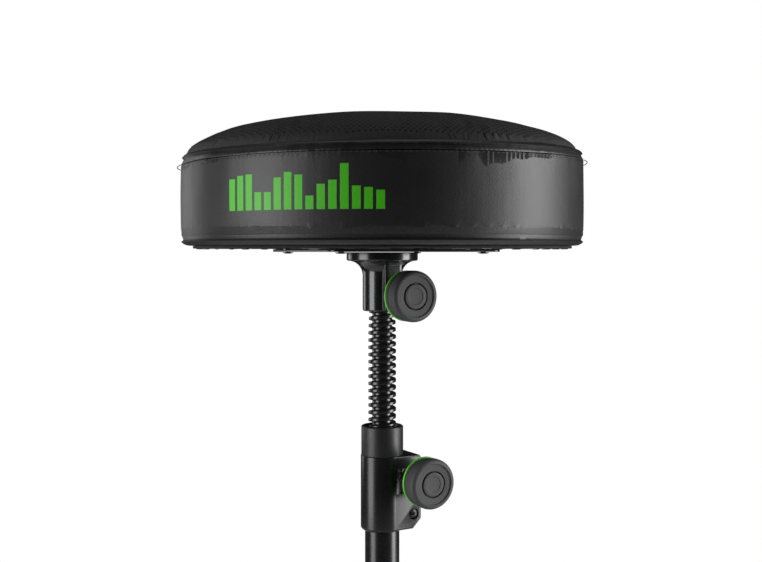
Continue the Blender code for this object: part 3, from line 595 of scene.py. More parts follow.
def carved(shape, tool, operation='DIFFERENCE'):
    """Cut one closed shape from another, or fuse them with UNION."""
    objects = []
    for part in (shape, tool):
        mesh = bpy.data.meshes.new("carving")
        part.to_mesh(mesh)
        part.free()
        made = bpy.data.objects.new("carving", mesh)
        bpy.context.scene.collection.objects.link(made)
        objects.append(made)
    step = objects[0].modifiers.new("carve", 'BOOLEAN')
    step.operation = operation
    step.object = objects[1]
    result = bmesh.new()
    result.from_object(objects[0], bpy.context.evaluated_depsgraph_get())
    for made in objects:
        mesh = made.data
        bpy.data.objects.remove(made)
        bpy.data.meshes.remove(mesh)
    bmesh.ops.remove_doubles(result, verts=result.verts, dist=0.000005)
    return result


def fused(shape, other):
    return carved(shape, other, 'UNION')


def eased(shape, width, over=35, segments=2):
    """Round every edge that is sharper than an angle in degrees."""
    bmesh.ops.dissolve_limit(shape, angle_limit=radians(0.5), verts=shape.verts,
                             edges=shape.edges)
    sharp = [e for e in shape.edges if e.is_manifold and e.calc_face_angle() > radians(over)]
    bmesh.ops.bevel(shape, geom=sharp, offset=width, offset_type='OFFSET', segments=segments,
                    profile=0.5, affect='EDGES', clamp_overlap=True, material=-1)
    return shape


def threaded(radius, root, pitch, flats, lowest, highest, steps=32, soft=0.0, taper=None):
    """A right-hand screw: flats are the widths of its crest and root; taper is (turns, depth)."""
    crest_half = flats[0] / 2
    root_half = (pitch - flats[1]) / 2
    start = (lowest // pitch - 1) * pitch
    tooth = [(root, start - root_half - flats[1] / 2), (root, start - root_half, soft),
             (radius, start - crest_half, soft), (radius, start + crest_half, soft),
             (root, start + root_half, soft), (root, start + root_half + flats[1] / 2)]
    points = filleted(tooth if soft else [p[:2] for p in tooth], steps=2)
    turns = int((highest - lowest) / pitch) + 4
    shape = bmesh.new()
    verts = [shape.verts.new((r, 0, z)) for r, z in points]
    edges = [shape.edges.new(pair) for pair in zip(verts, verts[1:])]
    bmesh.ops.spin(shape, geom=verts + edges, cent=(0, 0, 0), axis=(0, 0, 1),
                   dvec=(0, 0, pitch / steps), angle=2 * pi * turns, steps=steps * turns)
    bmesh.ops.remove_doubles(shape, verts=shape.verts, dist=0.000002)
    if taper:
        length = taper[0] * pitch
        for vert in shape.verts:
            flat = hypot(vert.co.x, vert.co.y)
            fade = min(1, (vert.co.z - highest + length) / length)
            if fade > 0 and flat > root:
                vert.co.xy *= 1 - fade * taper[1] / radius * (flat - root) / (radius - root)
    for height, side in ((highest, 1), (lowest, -1)):
        bmesh.ops.bisect_plane(shape, geom=shape.verts[:] + shape.edges[:] + shape.faces[:],
                               plane_co=(0, 0, height), plane_no=(0, 0, side),
                               clear_outer=True, dist=0.0000001)
    bmesh.ops.holes_fill(shape, edges=[e for e in shape.edges if e.is_boundary], sides=0)
    bmesh.ops.recalc_face_normals(shape, faces=shape.faces)
    return shape


def piece(name, shape, look, body, stands_for=(), sharp=40):
    """Make a shape an object that rides on a body and stands for CAD nodes."""
    mesh = bpy.data.meshes.new(name)
    shape.to_mesh(mesh)
    shape.free()
    for each in (look if isinstance(look, tuple) else (look,)):
        mesh.materials.append(finish(each))
    mesh.shade_smooth()
    mesh.set_sharp_from_angle(angle=radians(sharp))
    made = bpy.data.objects.new(name, mesh)
    bpy.context.scene.collection.objects.link(made)
    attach(made, body)
    if stands_for:
        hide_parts(*stands_for)
    return made


def dress(node, look):
    """Give a CAD node that stays its finish."""
    node_object = frame["nodes"][node]
    node_object.data.materials.clear()
    node_object.data.materials.append(finish(look))


# ---------------------------------------------------------------- settings

def length(name, description, default, low=0.0, high=1.0):
    return FloatProperty(name=name, description=description, default=default, min=low,
                         max=high, subtype='DISTANCE', unit='LENGTH')


def shade(name, description, default):
    return FloatVectorProperty(name=name, description=description, default=default, min=0.0,
                               max=1.0, size=3, subtype='COLOR')


class ThroneUpholstery(bpy.types.PropertyGroup):
    """Sizes and colours of the seat."""

    mesh_pitch: length("Mesh pitch", "Spacing of the holes in the knitted mesh", 4.0 * MM)
    hole_depth: length("Hole depth", "Depth of the holes in the knitted mesh", 1.6 * MM)
    stitch_pitch: length("Stitch pitch", "Spacing of the stitches in the seam", 4.0 * MM)
    swell: length("Swell", "Furthest that the simulated padding may move a surface", 2.5 * MM)
    pucker: length("Pucker", "Depth of the gathers beside the seam", 0.25 * MM)
    seam_drift: length("Seam drift", "How far the seam wanders up and down", 0.6 * MM)
    print_colour: shade("Print", "Colour of the bars printed on the band", (0.06, 0.52, 0.002))
    print_start: FloatProperty(name="Print start", description="Azimuth where the bars start",
                               default=radians(-132), subtype='ANGLE', unit='ROTATION')
    print_span: FloatProperty(name="Print span", description="Azimuth that the bars cover",
                              default=radians(43), subtype='ANGLE', unit='ROTATION')
    print_low: length("Print foot", "Height of the bars' foot above the band's foot", 24 * MM)
    print_height: length("Print height", "Height of the tallest bar", 31 * MM)
    print_bars: IntProperty(name="Bars", description="Number of printed bars", default=15,
                            min=3, max=60)


class ThroneHardware(bpy.types.PropertyGroup):
    """Colours of the knobs."""

    ring_colour: shade("Knob ring", "Colour of the ring behind each knob", (0.10, 0.58, 0.022))
    grip_colour: shade("Knob grip", "Colour of the knobs' rubber", (0.045, 0.045, 0.047))


def upholstery():
    return bpy.context.scene.throne_upholstery


def hardware():
    return bpy.context.scene.throne_hardware


# ---------------------------------------------------------------- seat

def around(azimuth, radius, height):
    return TUBE_AXIS + Vector((radius * cos(azimuth), radius * sin(azimuth), height))


def dome_height(radius):
    """The crown of the cushion over its edge: flat in the middle and steep at its rim."""
    share = max(0.0, 1 - (radius / DOME_RADIUS) ** 2.2)
    return DOME_Z + (SEAT_TOP - DOME_Z) * sqrt(share)


def dome_lengths(count=400):
    """Distances over the dome, from its middle, of evenly spaced radii."""
    radii = [DOME_RADIUS * sin(pi / 2 * i / count) for i in range(count + 1)]
    points = [Vector((r, dome_height(r))) for r in radii]
    walked = [0.0]
    for back, on in zip(points, points[1:]):
        walked.append(walked[-1] + (on - back).length)
    return radii, walked


def seam_height(azimuth):
    """The seam isn't quite level: it wanders, and is lowest on the front left."""
    wander = noise.noise(Vector((1.3 * cos(azimuth), 1.3 * sin(azimuth), 4.0)))
    lean = -0.4 * MM + 1.9 * MM * cos(azimuth) + 1.5 * MM * sin(azimuth)
    return SEAM_Z + lean + upholstery().seam_drift * wander


def edge_drift(azimuth):
    """How far the mesh's edge stands above its place: it leans back and to the right."""
    return 0.2 * MM + 1.75 * MM * cos(azimuth) + 3.2 * MM * sin(azimuth)


PADDING = {}


def padding():
    """The cushion's simulated surface, made the first time that it is asked for."""
    if "surface" not in PADDING:
        PADDING["surface"] = simulated_padding()
    return PADDING["surface"]


def pad_outline(inset):
    """Side view of the whole cushion, as closed (radius, height) points, drawn in by an inset."""
    dome = [(DOME_RADIUS * sin(pi / 2 * i / 24)) for i in range(24)]
    points = [(r * (1 - inset / DOME_RADIUS), dome_height(r) - inset) for r in dome]
    foot = BAND_Z + inset
    points += [(DOME_RADIUS - inset, DOME_Z), (SEAT_RADIUS - inset, SEAM_Z)]
    points += [(SEAT_RADIUS - inset, DOME_Z - (DOME_Z - foot) * i / 8) for i in range(2, 8)]
    points += [(SEAT_RADIUS - inset, foot + ROLL), (SEAT_RADIUS - ROLL, foot), (0, foot)]
    return points


def simulated_padding():
    """Blow up a slightly small pad inside its seams, and return the surface that it takes."""
    inset = 1.5 * MM
    shape = spun(pad_outline(inset), steps=96)
    shape.transform(ON_AXIS)
    mesh = bpy.data.meshes.new("padding")
    shape.to_mesh(mesh)
    shape.free()
    pad = bpy.data.objects.new("padding", mesh)
    scene = bpy.context.scene
    scene.collection.objects.link(pad)
    remesh = pad.modifiers.new("voxels", 'REMESH')
    remesh.mode = 'VOXEL'
    remesh.voxel_size = 5.5 * MM
    pad.data = bpy.data.meshes.new_from_object(
        pad.evaluated_get(bpy.context.evaluated_depsgraph_get()))
    pad.modifiers.clear()
    held = pad.vertex_groups.new(name="seams")
    start = [v.co.copy() for v in pad.data.vertices]
    for vert in pad.data.vertices:
        flat = (vert.co - TUBE_AXIS).xy.length
        near_seam = flat > SEAT_RADIUS - 10 * MM and abs(vert.co.z - SEAM_Z) < 4 * MM
        near_edge = flat > DOME_RADIUS - 8 * MM and abs(vert.co.z - DOME_Z) < 4 * MM
        at_foot = vert.co.z < BAND_Z + inset + 3 * MM
        if near_seam or near_edge or at_foot:
            held.add([vert.index], 1.0, 'REPLACE')
    cloth = pad.modifiers.new("cloth", 'CLOTH')
    cloth.settings.use_pressure = True
    cloth.settings.uniform_pressure_force = 4.0
    cloth.settings.effector_weights.gravity = 0.0
    cloth.settings.vertex_group_mass = "seams"
    cloth.settings.quality = 5
    cloth.point_cache.frame_start, cloth.point_cache.frame_end = 1, 20
    for frame_number in range(1, 21):
        scene.frame_set(frame_number)
    blown = pad.evaluated_get(bpy.context.evaluated_depsgraph_get()).to_mesh()
    most = upholstery().swell
    verts = []
    for before, vert in zip(start, blown.vertices):
        move = vert.co - before
        verts.append(before + move * min(1, most / max(move.length, 1e-9)))
    faces = [tuple(p.vertices) for p in blown.polygons]
    surface = BVHTree.FromPolygons(verts, faces)
    scene.frame_set(1)
    used = pad.data
    bpy.data.objects.remove(pad)
    bpy.data.meshes.remove(used)
    return surface


def swollen(point, outward):
    """How far the simulated padding stands out from a point of the plain cushion."""
    surface = padding()
    if surface is None:
        return 0.0
    far = 40 * MM
    hit = surface.ray_cast(point - outward * far, outward, 2 * far)[0]
    if hit is None:
        return 0.0
    most = upholstery().swell
    stands = (hit - point).dot(outward)
    return max(-most, min(0.4 * MM, stands))


def ring_columns():
    """Columns round the seat: four to a stitch, so that each stitch can gather the leather."""
    stitches = round(2 * pi * SEAM_RADIUS / upholstery().stitch_pitch)
    return 4 * stitches


def sculpted(shape, move):
    """Move each point of a seat ring: move gets azimuth, radius and height, and returns both."""
    for vert in shape.verts:
        azimuth = atan2(vert.co.y, vert.co.x)
        radius, height = move(azimuth, hypot(vert.co.x, vert.co.y), vert.co.z)
        vert.co = (radius * cos(azimuth), radius * sin(azimuth), height)
    bmesh.ops.recalc_face_normals(shape, faces=shape.faces)
    return turned_to(shape, ON_AXIS)


def hollow_at_stitches(azimuth):
    """1 where a stitch pulls the seam in, and 0 between two stitches."""
    return 0.5 + 0.5 * cos(azimuth * ring_columns() / 4)


def soft_wave(azimuth, height, across, up, seed):
    """Smooth noise on the seat's side, with its scale across and up the band, in waves a metre."""
    place = Vector((SEAT_RADIUS * cos(azimuth) * across, SEAT_RADIUS * sin(azimuth) * across,
                    height * up + seed))
    return noise.noise(place)


class OBJECT_OT_throne_side_band(bpy.types.Operator):
    """The leather band round the cushion, gathered at its seam and turned in at its foot"""

    bl_idname = "object.throne_side_band"
    bl_label = "Side Band"

    def execute(self, context):
        settings = upholstery()
        hem = DUST_COVER_RADIUS - 11 * MM
        inner = SEAT_RADIUS - 2 * MM
        foot = BAND_Z + ROLL
        wall = [(SEAT_RADIUS, foot + (SEAM_Z - foot) * i / 26) for i in range(1, 26)]
        roll = [(SEAT_RADIUS - ROLL + ROLL * sin(a), foot - ROLL * cos(a))
                for a in [radians(90 * k / 7) for k in range(8)]]
        lip = [(SEAM_RADIUS - 0.3 * MM, SEAM_Z - 0.5 * MM), (inner, SEAM_Z - 0.6 * MM),
               (inner, foot), (inner - 6 * MM, BAND_Z + 2 * MM), (hem, BAND_Z + 2 * MM)]
        outline = [(hem, BAND_Z), *roll, *wall, *lip]
        shape = spun(outline, steps=ring_columns(), ring=True)

        def move(azimuth, radius, height):
            if radius < SEAT_RADIUS - 9 * MM or height < BAND_Z + 0.5 * MM:
                return radius, height
            share = (height - BAND_Z) / (SEAM_Z - BAND_Z)
            out = Vector((cos(azimuth), sin(azimuth), 0))
            if radius > inner + MM:
                radius += swollen(around(azimuth, radius, height), out)
                radius += 0.5 * MM * sin(pi * min(1, share)) - 0.4 * MM
                depth = SEAM_Z - height
                near = exp(-depth / (7 * MM))
                gather = hollow_at_stitches(azimuth)
                radius += 0.4 * MM * exp(-depth / (4 * MM))
                radius -= settings.pucker * exp(-depth / (3 * MM)) * (0.35 + 0.65 * gather)
                radius += 0.35 * MM * near * soft_wave(azimuth, height, 70, 18, 3.0)
                radius += 0.6 * MM * (0.25 + 0.75 * share) * soft_wave(azimuth, height, 18, 12, 9.0)
                radius += 0.2 * MM * soft_wave(azimuth, height, 60, 40, 21.0) * share
                radius = min(radius, SEAM_RADIUS + 0.4 * MM)
            drift = seam_height(azimuth) - SEAM_Z
            return radius, height + drift * max(0.0, min(1.0, share)) ** 2

        shape = sculpted(shape, move)
        band = piece("seat_side_band", shape, "printed_leather", "seat", ["side_band"],
                     sharp=70)
        return {'FINISHED'}


class OBJECT_OT_throne_trim_strip(bpy.types.Operator):
    """The folded leather strip between the band and the mesh"""

    bl_idname = "object.throne_trim_strip"
    bl_label = "Trim Strip"

    def execute(self, context):
        settings = upholstery()
        inner = SEAT_RADIUS - 2.6 * MM
        rise = DOME_Z - SEAM_Z
        outline = [(SEAM_RADIUS - 0.6 * MM, SEAM_Z + 0.1 * MM),
                   (SEAM_RADIUS - 0.5 * MM, SEAM_Z + 0.7 * MM),
                   (SEAM_RADIUS - 0.9 * MM, SEAM_Z + 0.2 * rise),
                   (SEAT_RADIUS - 0.6 * MM, SEAM_Z + 0.38 * rise),
                   (SEAT_RADIUS - 1.6 * MM, SEAM_Z + 0.56 * rise),
                   (SEAT_RADIUS - 2.8 * MM, SEAM_Z + 0.74 * rise),
                   (SEAT_RADIUS - 4.0 * MM, SEAM_Z + 0.9 * rise),
                   (DOME_RADIUS + 0.4 * MM, SEAM_Z + 1.0 * rise),
                   (DOME_RADIUS - 0.3 * MM, SEAM_Z + 1.05 * rise),
                   (DOME_RADIUS - 1.1 * MM, SEAM_Z + 1.04 * rise),
                   (DOME_RADIUS - 1.6 * MM, SEAM_Z + 0.94 * rise),
                   (DOME_RADIUS - 1.4 * MM, SEAM_Z + 0.6 * rise),
                   (inner, SEAM_Z + 0.1 * MM)]
        shape = spun(outline, steps=ring_columns(), ring=True)

        def move(azimuth, radius, height):
            share = (height - SEAM_Z) / rise
            out = Vector((cos(azimuth), sin(azimuth), 0))
            if radius > inner + 0.5 * MM or share > 0.9:
                low_edge = exp(-max(0.0, share) * 3)
                radius += swollen(around(azimuth, radius, height), out)
                crease = abs(soft_wave(azimuth, height, 95, 60, 5.0))
                radius -= 0.7 * MM * crease * sin(pi * min(1.0, max(0.0, share)))
                radius += 0.6 * MM * soft_wave(azimuth, height, 45, 30, 2.0)
                radius -= settings.pucker * 0.7 * low_edge * hollow_at_stitches(azimuth)
                height += 0.7 * MM * soft_wave(azimuth, 0, 30, 1, 7.0) * share
                height += 0.3 * MM * soft_wave(azimuth, 0, 110, 1, 17.0) * share
            share = max(0.0, min(1.0, share))
            drift = (seam_height(azimuth) - SEAM_Z) * (1 - share) + edge_drift(azimuth) * share
            return radius, height + drift

        shape = sculpted(shape, move)
        piece("seat_trim_strip", shape, "imitation_leather", "seat", ["trim_strip"],
              sharp=70)
        return {'FINISHED'}


class OBJECT_OT_throne_stitches(bpy.types.Operator):
    """The stitches along the seam"""

    bl_idname = "object.throne_stitches"
    bl_label = "Seam Stitches"

    def execute(self, context):
        count = ring_columns() // 4
        pitch = 2 * pi / count
        half = 0.36 * pitch * SEAM_RADIUS
        rng = random.Random(11)
        shape = bmesh.new()
        for number in range(count):
            azimuth = (number + 0.5) * pitch
            place = around(azimuth, SEAM_RADIUS - 0.1 * MM, seam_height(azimuth) - 1.5 * MM)
            tilt = Matrix.Rotation(radians(8 + rng.uniform(-4, 4)), 4, 'X')
            size = Matrix.Diagonal((0.42 * MM, half, 0.38 * MM, 1))
            bmesh.ops.create_icosphere(shape, subdivisions=1, radius=1,
                                       matrix=Matrix.Translation(place)
                                       @ Matrix.Rotation(azimuth, 4, 'Z') @ tilt @ size)
        piece("seat_seam_stitches", shape, "sewing_thread", "seat")
        return {'FINISHED'}


class OBJECT_OT_throne_mesh_top(bpy.types.Operator):
    """The crowned top of knitted spacer mesh, with a pit in each cell of its lattice"""

    bl_idname = "object.throne_mesh_top"
    bl_label = "Mesh Top"

    def execute(self, context):
        settings = upholstery()
        radii, walked = dome_lengths()
        rim = walked[-1]
        shape = self.lattice(settings.mesh_pitch, rim - 1.6 * settings.mesh_pitch)
        cells = shape.faces[:]
        bmesh.ops.inset_individual(shape, faces=cells, thickness=0.17 * settings.mesh_pitch,
                                   use_even_offset=True)
        pits = bmesh.ops.poke(shape, faces=cells, offset=0.0)
        bottoms = set(pits["verts"])
        # The pits take the second finish, a painted shade that darkens the holes.
        for face in pits["faces"]:
            face.material_index = 1
        self.close_to_rim(shape, rim)

        def on_dome(vert):
            walk = hypot(vert.co.x, vert.co.y)
            azimuth = atan2(vert.co.y, vert.co.x)
            index = min(len(walked) - 2, max(0, bisect_left(walked, walk) - 1))
            share = (walk - walked[index]) / (walked[index + 1] - walked[index])
            radius = radii[index] + (radii[index + 1] - radii[index]) * min(1.0, share)
            return azimuth, radius

        for vert in shape.verts:
            if vert.co.z < -MM:
                vert.co.z += DOME_Z + edge_drift(atan2(vert.co.y, vert.co.x))
                continue
            azimuth, radius = on_dome(vert)
            height = dome_height(radius) + edge_drift(azimuth) * (radius / DOME_RADIUS) ** 1.5
            out = Vector((radius * cos(azimuth) / DOME_RADIUS, radius * sin(azimuth) / DOME_RADIUS,
                          0.6)).normalized()
            sink = settings.hole_depth if vert in bottoms else 0.0
            lift = swollen(around(azimuth, radius, height), out) - 0.3 * MM
            lift += 0.5 * MM * noise.noise(Vector((radius * cos(azimuth), radius * sin(azimuth),
                                                   0)) * 22)
            point = Vector((radius * cos(azimuth), radius * sin(azimuth), height))
            vert.co = point + out * (lift - sink)
        bmesh.ops.recalc_face_normals(shape, faces=shape.faces)
        turned_to(shape, ON_AXIS)
        # The second finish is painted shade, laid on the pits of the mesh.
        top = piece("seat_mesh_top", shape, ("spacer_knit", "spacer_pit_shade"), "seat",
                    ["mesh_cover", "foam_core"], sharp=80)
        return {'FINISHED'}

    def lattice(self, pitch, reach_out):
        """Flat hexagons that share their edges, out to a radius."""
        shape = bmesh.new()
        bmesh.ops.create_circle(shape, cap_ends=True, radius=pitch / sqrt(3), segments=6,
                                matrix=Matrix.Rotation(pi / 6, 4, 'Z'))
        across = int(reach_out / pitch) + 1
        row = shape.faces[:]
        for side in (1, -1):
            for step in range(1, across + 1):
                copy = bmesh.ops.duplicate(shape, geom=row)["geom"]
                moved = [g for g in copy if isinstance(g, bmesh.types.BMVert)]
                bmesh.ops.translate(shape, verts=moved, vec=(side * step * pitch, 0, 0))
        whole_row = shape.faces[:]
        up = pitch * sqrt(3) / 2
        for side in (1, -1):
            for step in range(1, int(reach_out / up) + 2):
                copy = bmesh.ops.duplicate(shape, geom=whole_row)["geom"]
                moved = [g for g in copy if isinstance(g, bmesh.types.BMVert)]
                shift = (step % 2) * pitch / 2
                bmesh.ops.translate(shape, verts=moved, vec=(shift, side * step * up, 0))
        far = [f for f in shape.faces if f.calc_center_median().length > reach_out]
        bmesh.ops.delete(shape, geom=far, context='FACES')
        bmesh.ops.remove_doubles(shape, verts=shape.verts, dist=pitch / 20)
        return shape

    def close_to_rim(self, shape, rim):
        """Fill out to the rim, turn down inside the trim, and close the foot of the pad."""
        for radius, height in ((rim, 0.0), (rim, -5 * MM)):
            edges = [e for e in shape.edges if e.is_boundary]
            grown = bmesh.ops.extrude_edge_only(shape, edges=edges)["geom"]
            for vert in (g for g in grown if isinstance(g, bmesh.types.BMVert)):
                flat = DOME_RADIUS - MM if height else radius
                vert.co = vert.co.xy.to_3d().normalized() * flat
                vert.co.z = height
        bmesh.ops.holes_fill(shape, edges=[e for e in shape.edges if e.is_boundary], sides=0)


class OBJECT_OT_throne_seat_core(bpy.types.Operator):
    """The board inside the seat, and the foam that the mesh stands for"""

    bl_idname = "object.throne_seat_core"
    bl_label = "Seat Core"

    def execute(self, context):
        dress("seat_board", "plywood")
        dress("foam_core", "seat_foam")
        return {'FINISHED'}


# ---------------------------------------------------------------- under the seat

class OBJECT_OT_throne_dust_cover(bpy.types.Operator):
    """The black cloth under the seat, its edge turned in and stapled to the board"""

    bl_idname = "object.throne_dust_cover"
    bl_label = "Dust Cover"

    def execute(self, context):
        foot, head = low("dust_cover"), top("dust_cover")
        fold = DUST_COVER_RADIUS - 9 * MM
        outline = [(0, foot + 0.8 * MM), (60 * MM, foot + 0.7 * MM), (110 * MM, foot + 0.6 * MM),
                   (fold - 12 * MM, foot + 0.6 * MM), (fold - MM, foot + 0.6 * MM), (fold, foot),
                   (fold + 4 * MM, foot), (DUST_COVER_RADIUS - 0.6 * MM, foot + 0.2 * MM),
                   (DUST_COVER_RADIUS, foot + 0.9 * MM), (DUST_COVER_RADIUS - 0.4 * MM, head),
                   (0, head)]
        shape = spun(outline, steps=240)
        for vert in shape.verts:
            radius = hypot(vert.co.x, vert.co.y)
            azimuth = atan2(vert.co.y, vert.co.x)
            if radius > fold - 2 * MM:
                wave = 0.7 * MM * soft_wave(azimuth, 0, 60, 1, 31.0)
                vert.co.xy *= 1 + (wave - 0.6 * MM) / radius
            if vert.co.z < head - 0.5 * MM and radius > MM:
                vert.co.z += 0.5 * MM * abs(noise.noise(vert.co * 60))
        shape.transform(ON_AXIS)
        piece("seat_dust_cover", shape, "dust_cloth", "seat", ["dust_cover"],
              sharp=60)
        rng = random.Random(5)
        staples = bmesh.new()
        for number in range(42):
            azimuth = 2 * pi * (number + rng.uniform(-0.15, 0.15)) / 42
            twist = Matrix.Rotation(azimuth + pi / 2 + rng.uniform(-0.3, 0.3), 4, 'Z')
            place = around(azimuth, fold + 3.6 * MM, foot - 0.1 * MM)
            bmesh.ops.create_cube(staples, size=1, matrix=Matrix.Translation(place) @ twist
                                  @ Matrix.Diagonal((10 * MM, 0.7 * MM, 0.6 * MM, 1)))
        bmesh.ops.bevel(staples, geom=staples.edges[:], offset=0.15 * MM, offset_type='OFFSET',
                        segments=1, profile=0.5, affect='EDGES', material=-1)
        piece("seat_dust_cover_staples", staples, "black_oxide", "seat")
        return {'FINISHED'}


def plate_axes():
    """Turn and half side of the square plate, read from its screws and its bolted corners."""
    first, second = middle("plate_screw_1") - TUBE_AXIS, middle("plate_screw_2") - TUBE_AXIS
    side = first - second
    return atan2(side.y, side.x), side.xy.length / 2


class OBJECT_OT_throne_plate(bpy.types.Operator):
    """The steel plate under the seat and its cross-recessed screws"""

    bl_idname = "object.throne_plate"
    bl_label = "Mounting Plate"

    def execute(self, context):
        turn, hole = plate_axes()
        half = hole + 12 * MM
        foot, head = PLATE_Z, top("mounting_plate")
        corners = [(half, half, 9 * MM), (-half, half, 9 * MM), (-half, -half, 9 * MM),
                   (half, -half, 9 * MM)]
        plate = slab(filleted(corners, closed=True, steps=8), foot, head)
        plate = eased(plate, 0.5 * MM)
        for x, y in ((hole, hole), (-hole, hole), (-hole, -hole), (hole, -hole)):
            drill = rod(2.9 * MM, foot - MM, head + MM, 24)
            plate = carved(plate, turned_to(drill, Matrix.Translation((x, y, 0))))
        plate.transform(ON_AXIS @ Matrix.Rotation(turn, 4, 'Z'))
        piece("seat_mounting_plate", plate, "powder_coat", "seat", ["mounting_plate"])
        for number in (1, 2, 3, 4):
            node = f"plate_screw_{number}"
            self.screw(node, middle(node), low(node), top(node), turn + number)
        return {'FINISHED'}

    def screw(self, node, centre, foot, tip, turn):
        head = foot + 1.2 * MM
        outline = [(0, foot), (1.6 * MM, foot + 0.03 * MM), (3.2 * MM, foot + 0.25 * MM),
                   (4.2 * MM, foot + 0.6 * MM), (4.5 * MM, head - 0.2 * MM),
                   (4.4 * MM, head), (2.2 * MM, head), (2.2 * MM, tip - 3 * MM), (0, tip)]
        shape = spun(outline, steps=28)
        shape = cross_recessed(shape, foot, 1.2 * MM, 1.9 * MM, -1, turn)
        shape.transform(Matrix.Translation((centre.x, centre.y, 0)))
        piece(f"seat_{node}", shape, "black_oxide", "seat", [node])


def cross_recessed(shape, face, depth, reach_out, side, turn=0.0):
    """Cut a cross recess into a face at a height; the face looks along side on Z."""
    for quarter in (0, pi / 2):
        blade = box((-reach_out, -0.42 * MM, -depth), (reach_out, 0.42 * MM, MM))
        for vert in blade.verts:
            if vert.co.z < 0:
                vert.co.x *= 0.35
        flip = Matrix.Diagonal((1, 1, side, 1))
        blade.transform(Matrix.Translation((0, 0, face)) @ flip
                        @ Matrix.Rotation(turn + quarter, 4, 'Z'))
        bmesh.ops.recalc_face_normals(blade, faces=blade.faces)
        shape = carved(shape, blade)
    return shape


class OBJECT_OT_throne_seat_socket(bpy.types.Operator):
    """The lacquered casting that holds the seat on its spindle"""

    bl_idname = "object.throne_seat_socket"
    bl_label = "Seat Socket"

    def execute(self, context):
        face, hub = reach_about_axis("seat_socket"), 16.2 * MM
        head = top("seat_socket")
        under = PLATE_Z - 7.2 * MM
        bore = 10.3 * MM
        mouth = 12.1 * MM
        outline = [(0, head), (face, head, 0.8 * MM), (face, under, 1.4 * MM),
                   (hub, under, 12 * MM), (hub, SOCKET_Z, 1.5 * MM),
                   (mouth, SOCKET_Z, 0.5 * MM), (mouth, SOCKET_Z + 2.3 * MM),
                   (bore, SOCKET_Z + 4.1 * MM), (bore, SOCKET_Z + 38 * MM),
                   (0, SOCKET_Z + 38 * MM)]
        shape = spun(filleted(outline, steps=8), steps=128)
        boss = eased(box((bore + 1.5 * MM, -8 * MM, SOCKET_Z + 0.8 * MM),
                         (19 * MM, 8 * MM, under + 2 * MM)), 1.2 * MM, segments=3)
        shape = fused(shape, boss)
        hole = rod(4.3 * MM, 0, 30 * MM, 32)
        knob_z = joint_place("seat_knob_turn").z
        hole.transform(Matrix.Translation((0, 0, knob_z)) @ Matrix.Rotation(pi / 2, 4, 'Y'))
        shape = carved(shape, hole)
        shape.transform(ON_AXIS @ Matrix.Rotation(KNOB_AZIMUTH, 4, 'Z'))
        piece("seat_socket_casting", shape, "gloss_lacquer", "seat", ["seat_socket"],
              sharp=32)
        return {'FINISHED'}


def reach_about_axis(node):
    """Furthest radius of a node from the tube's axis, from its box."""
    lowest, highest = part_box(node)
    return max(highest.x - TUBE_AXIS.x, TUBE_AXIS.x - lowest.x)


# ---------------------------------------------------------------- knobs

class OBJECT_OT_throne_knobs(bpy.types.Operator):
    """The three clamping knobs: stepped rubber grips, bright rings, plain caps and their bolts"""

    bl_idname = "object.throne_knobs"
    bl_label = "Clamping Knobs"

    def execute(self, context):
        for name in ("seat", "height", "collar"):
            self.knob(name, knob_matrix(f"{name}_knob_turn"))
        return {'FINISHED'}

    def knob(self, name, place):
        body = f"{name}_knob"
        radius, depth = 20.4 * MM, 16 * MM
        face = depth - 0.9 * MM
        lip = 16.5 * MM
        grip = [(4.3 * MM, -4 * MM, 0.3 * MM), (8 * MM, -4 * MM, 0.4 * MM), (8 * MM, 0),
                (13.7 * MM, 0), (13.7 * MM, 2.3 * MM), (radius - 0.9 * MM, 2.3 * MM, 0.3 * MM),
                (radius - 0.55 * MM, 4.2 * MM, 0.3 * MM), (radius - 1.05 * MM, 4.6 * MM, 0.2 * MM),
                (radius - 0.75 * MM, 7.5 * MM, 0.3 * MM), (radius - 1.0 * MM, 7.9 * MM, 0.2 * MM),
                (radius, 8.3 * MM, 0.5 * MM), (radius, depth, 3.4 * MM),
                (lip, depth, 0.4 * MM), (lip - 0.3 * MM, face, 0.3 * MM),
                (10.9 * MM, face, 0.3 * MM), (10.9 * MM, face - 2.2 * MM),
                (7.7 * MM, face - 2.4 * MM), (7.7 * MM, face - 8 * MM),
                (4.3 * MM, face - 8 * MM)]
        shape = spun(filleted(grip, closed=True, steps=6), steps=96, ring=True)
        piece(f"{name}_knob_rubber", turned_to(shape, place), "grip_rubber", body,
              [f"{name}_knob_grip"], sharp=50)
        ring = [(14.05 * MM, 0), (radius - 0.3 * MM, 0, 0.5 * MM),
                (radius - 0.05 * MM, 1.1 * MM, 0.4 * MM), (radius - 0.35 * MM, 2.05 * MM, 0.4 * MM),
                (14.05 * MM, 2.05 * MM)]
        shape = spun(filleted(ring, closed=True, steps=4), steps=96, ring=True)
        piece(f"{name}_knob_bright_ring", turned_to(shape, place), "green_plastic", body,
              [f"{name}_knob_ring"], sharp=50)
        cap_top = face + 0.25 * MM
        cap = [(0, cap_top - 0.3 * MM), (6.2 * MM, cap_top - 0.3 * MM, 0.4 * MM),
               (6.6 * MM, cap_top, 0.3 * MM), (9.9 * MM, cap_top, 0.6 * MM),
               (9.9 * MM, face - 2 * MM), (0, face - 2 * MM)]
        shape = spun(filleted(cap, steps=4), steps=96)
        piece(f"{name}_knob_plain_cap", turned_to(shape, place), "grip_rubber", body,
              [f"{name}_knob_cap"], sharp=50)
        lengths = {"seat": 27.2 * MM, "height": 45.5 * MM, "collar": 19.4 * MM}
        bolt = threaded(4 * MM, 3.4 * MM, 1.25 * MM, (0.35 * MM, 0.3 * MM), -lengths[name],
                        5 * MM, steps=20)
        piece(f"{name}_knob_screw", turned_to(bolt, place), "zinc_plate", body,
              [f"{name}_knob_bolt"], sharp=35)


# ---------------------------------------------------------------- spindle and its nut

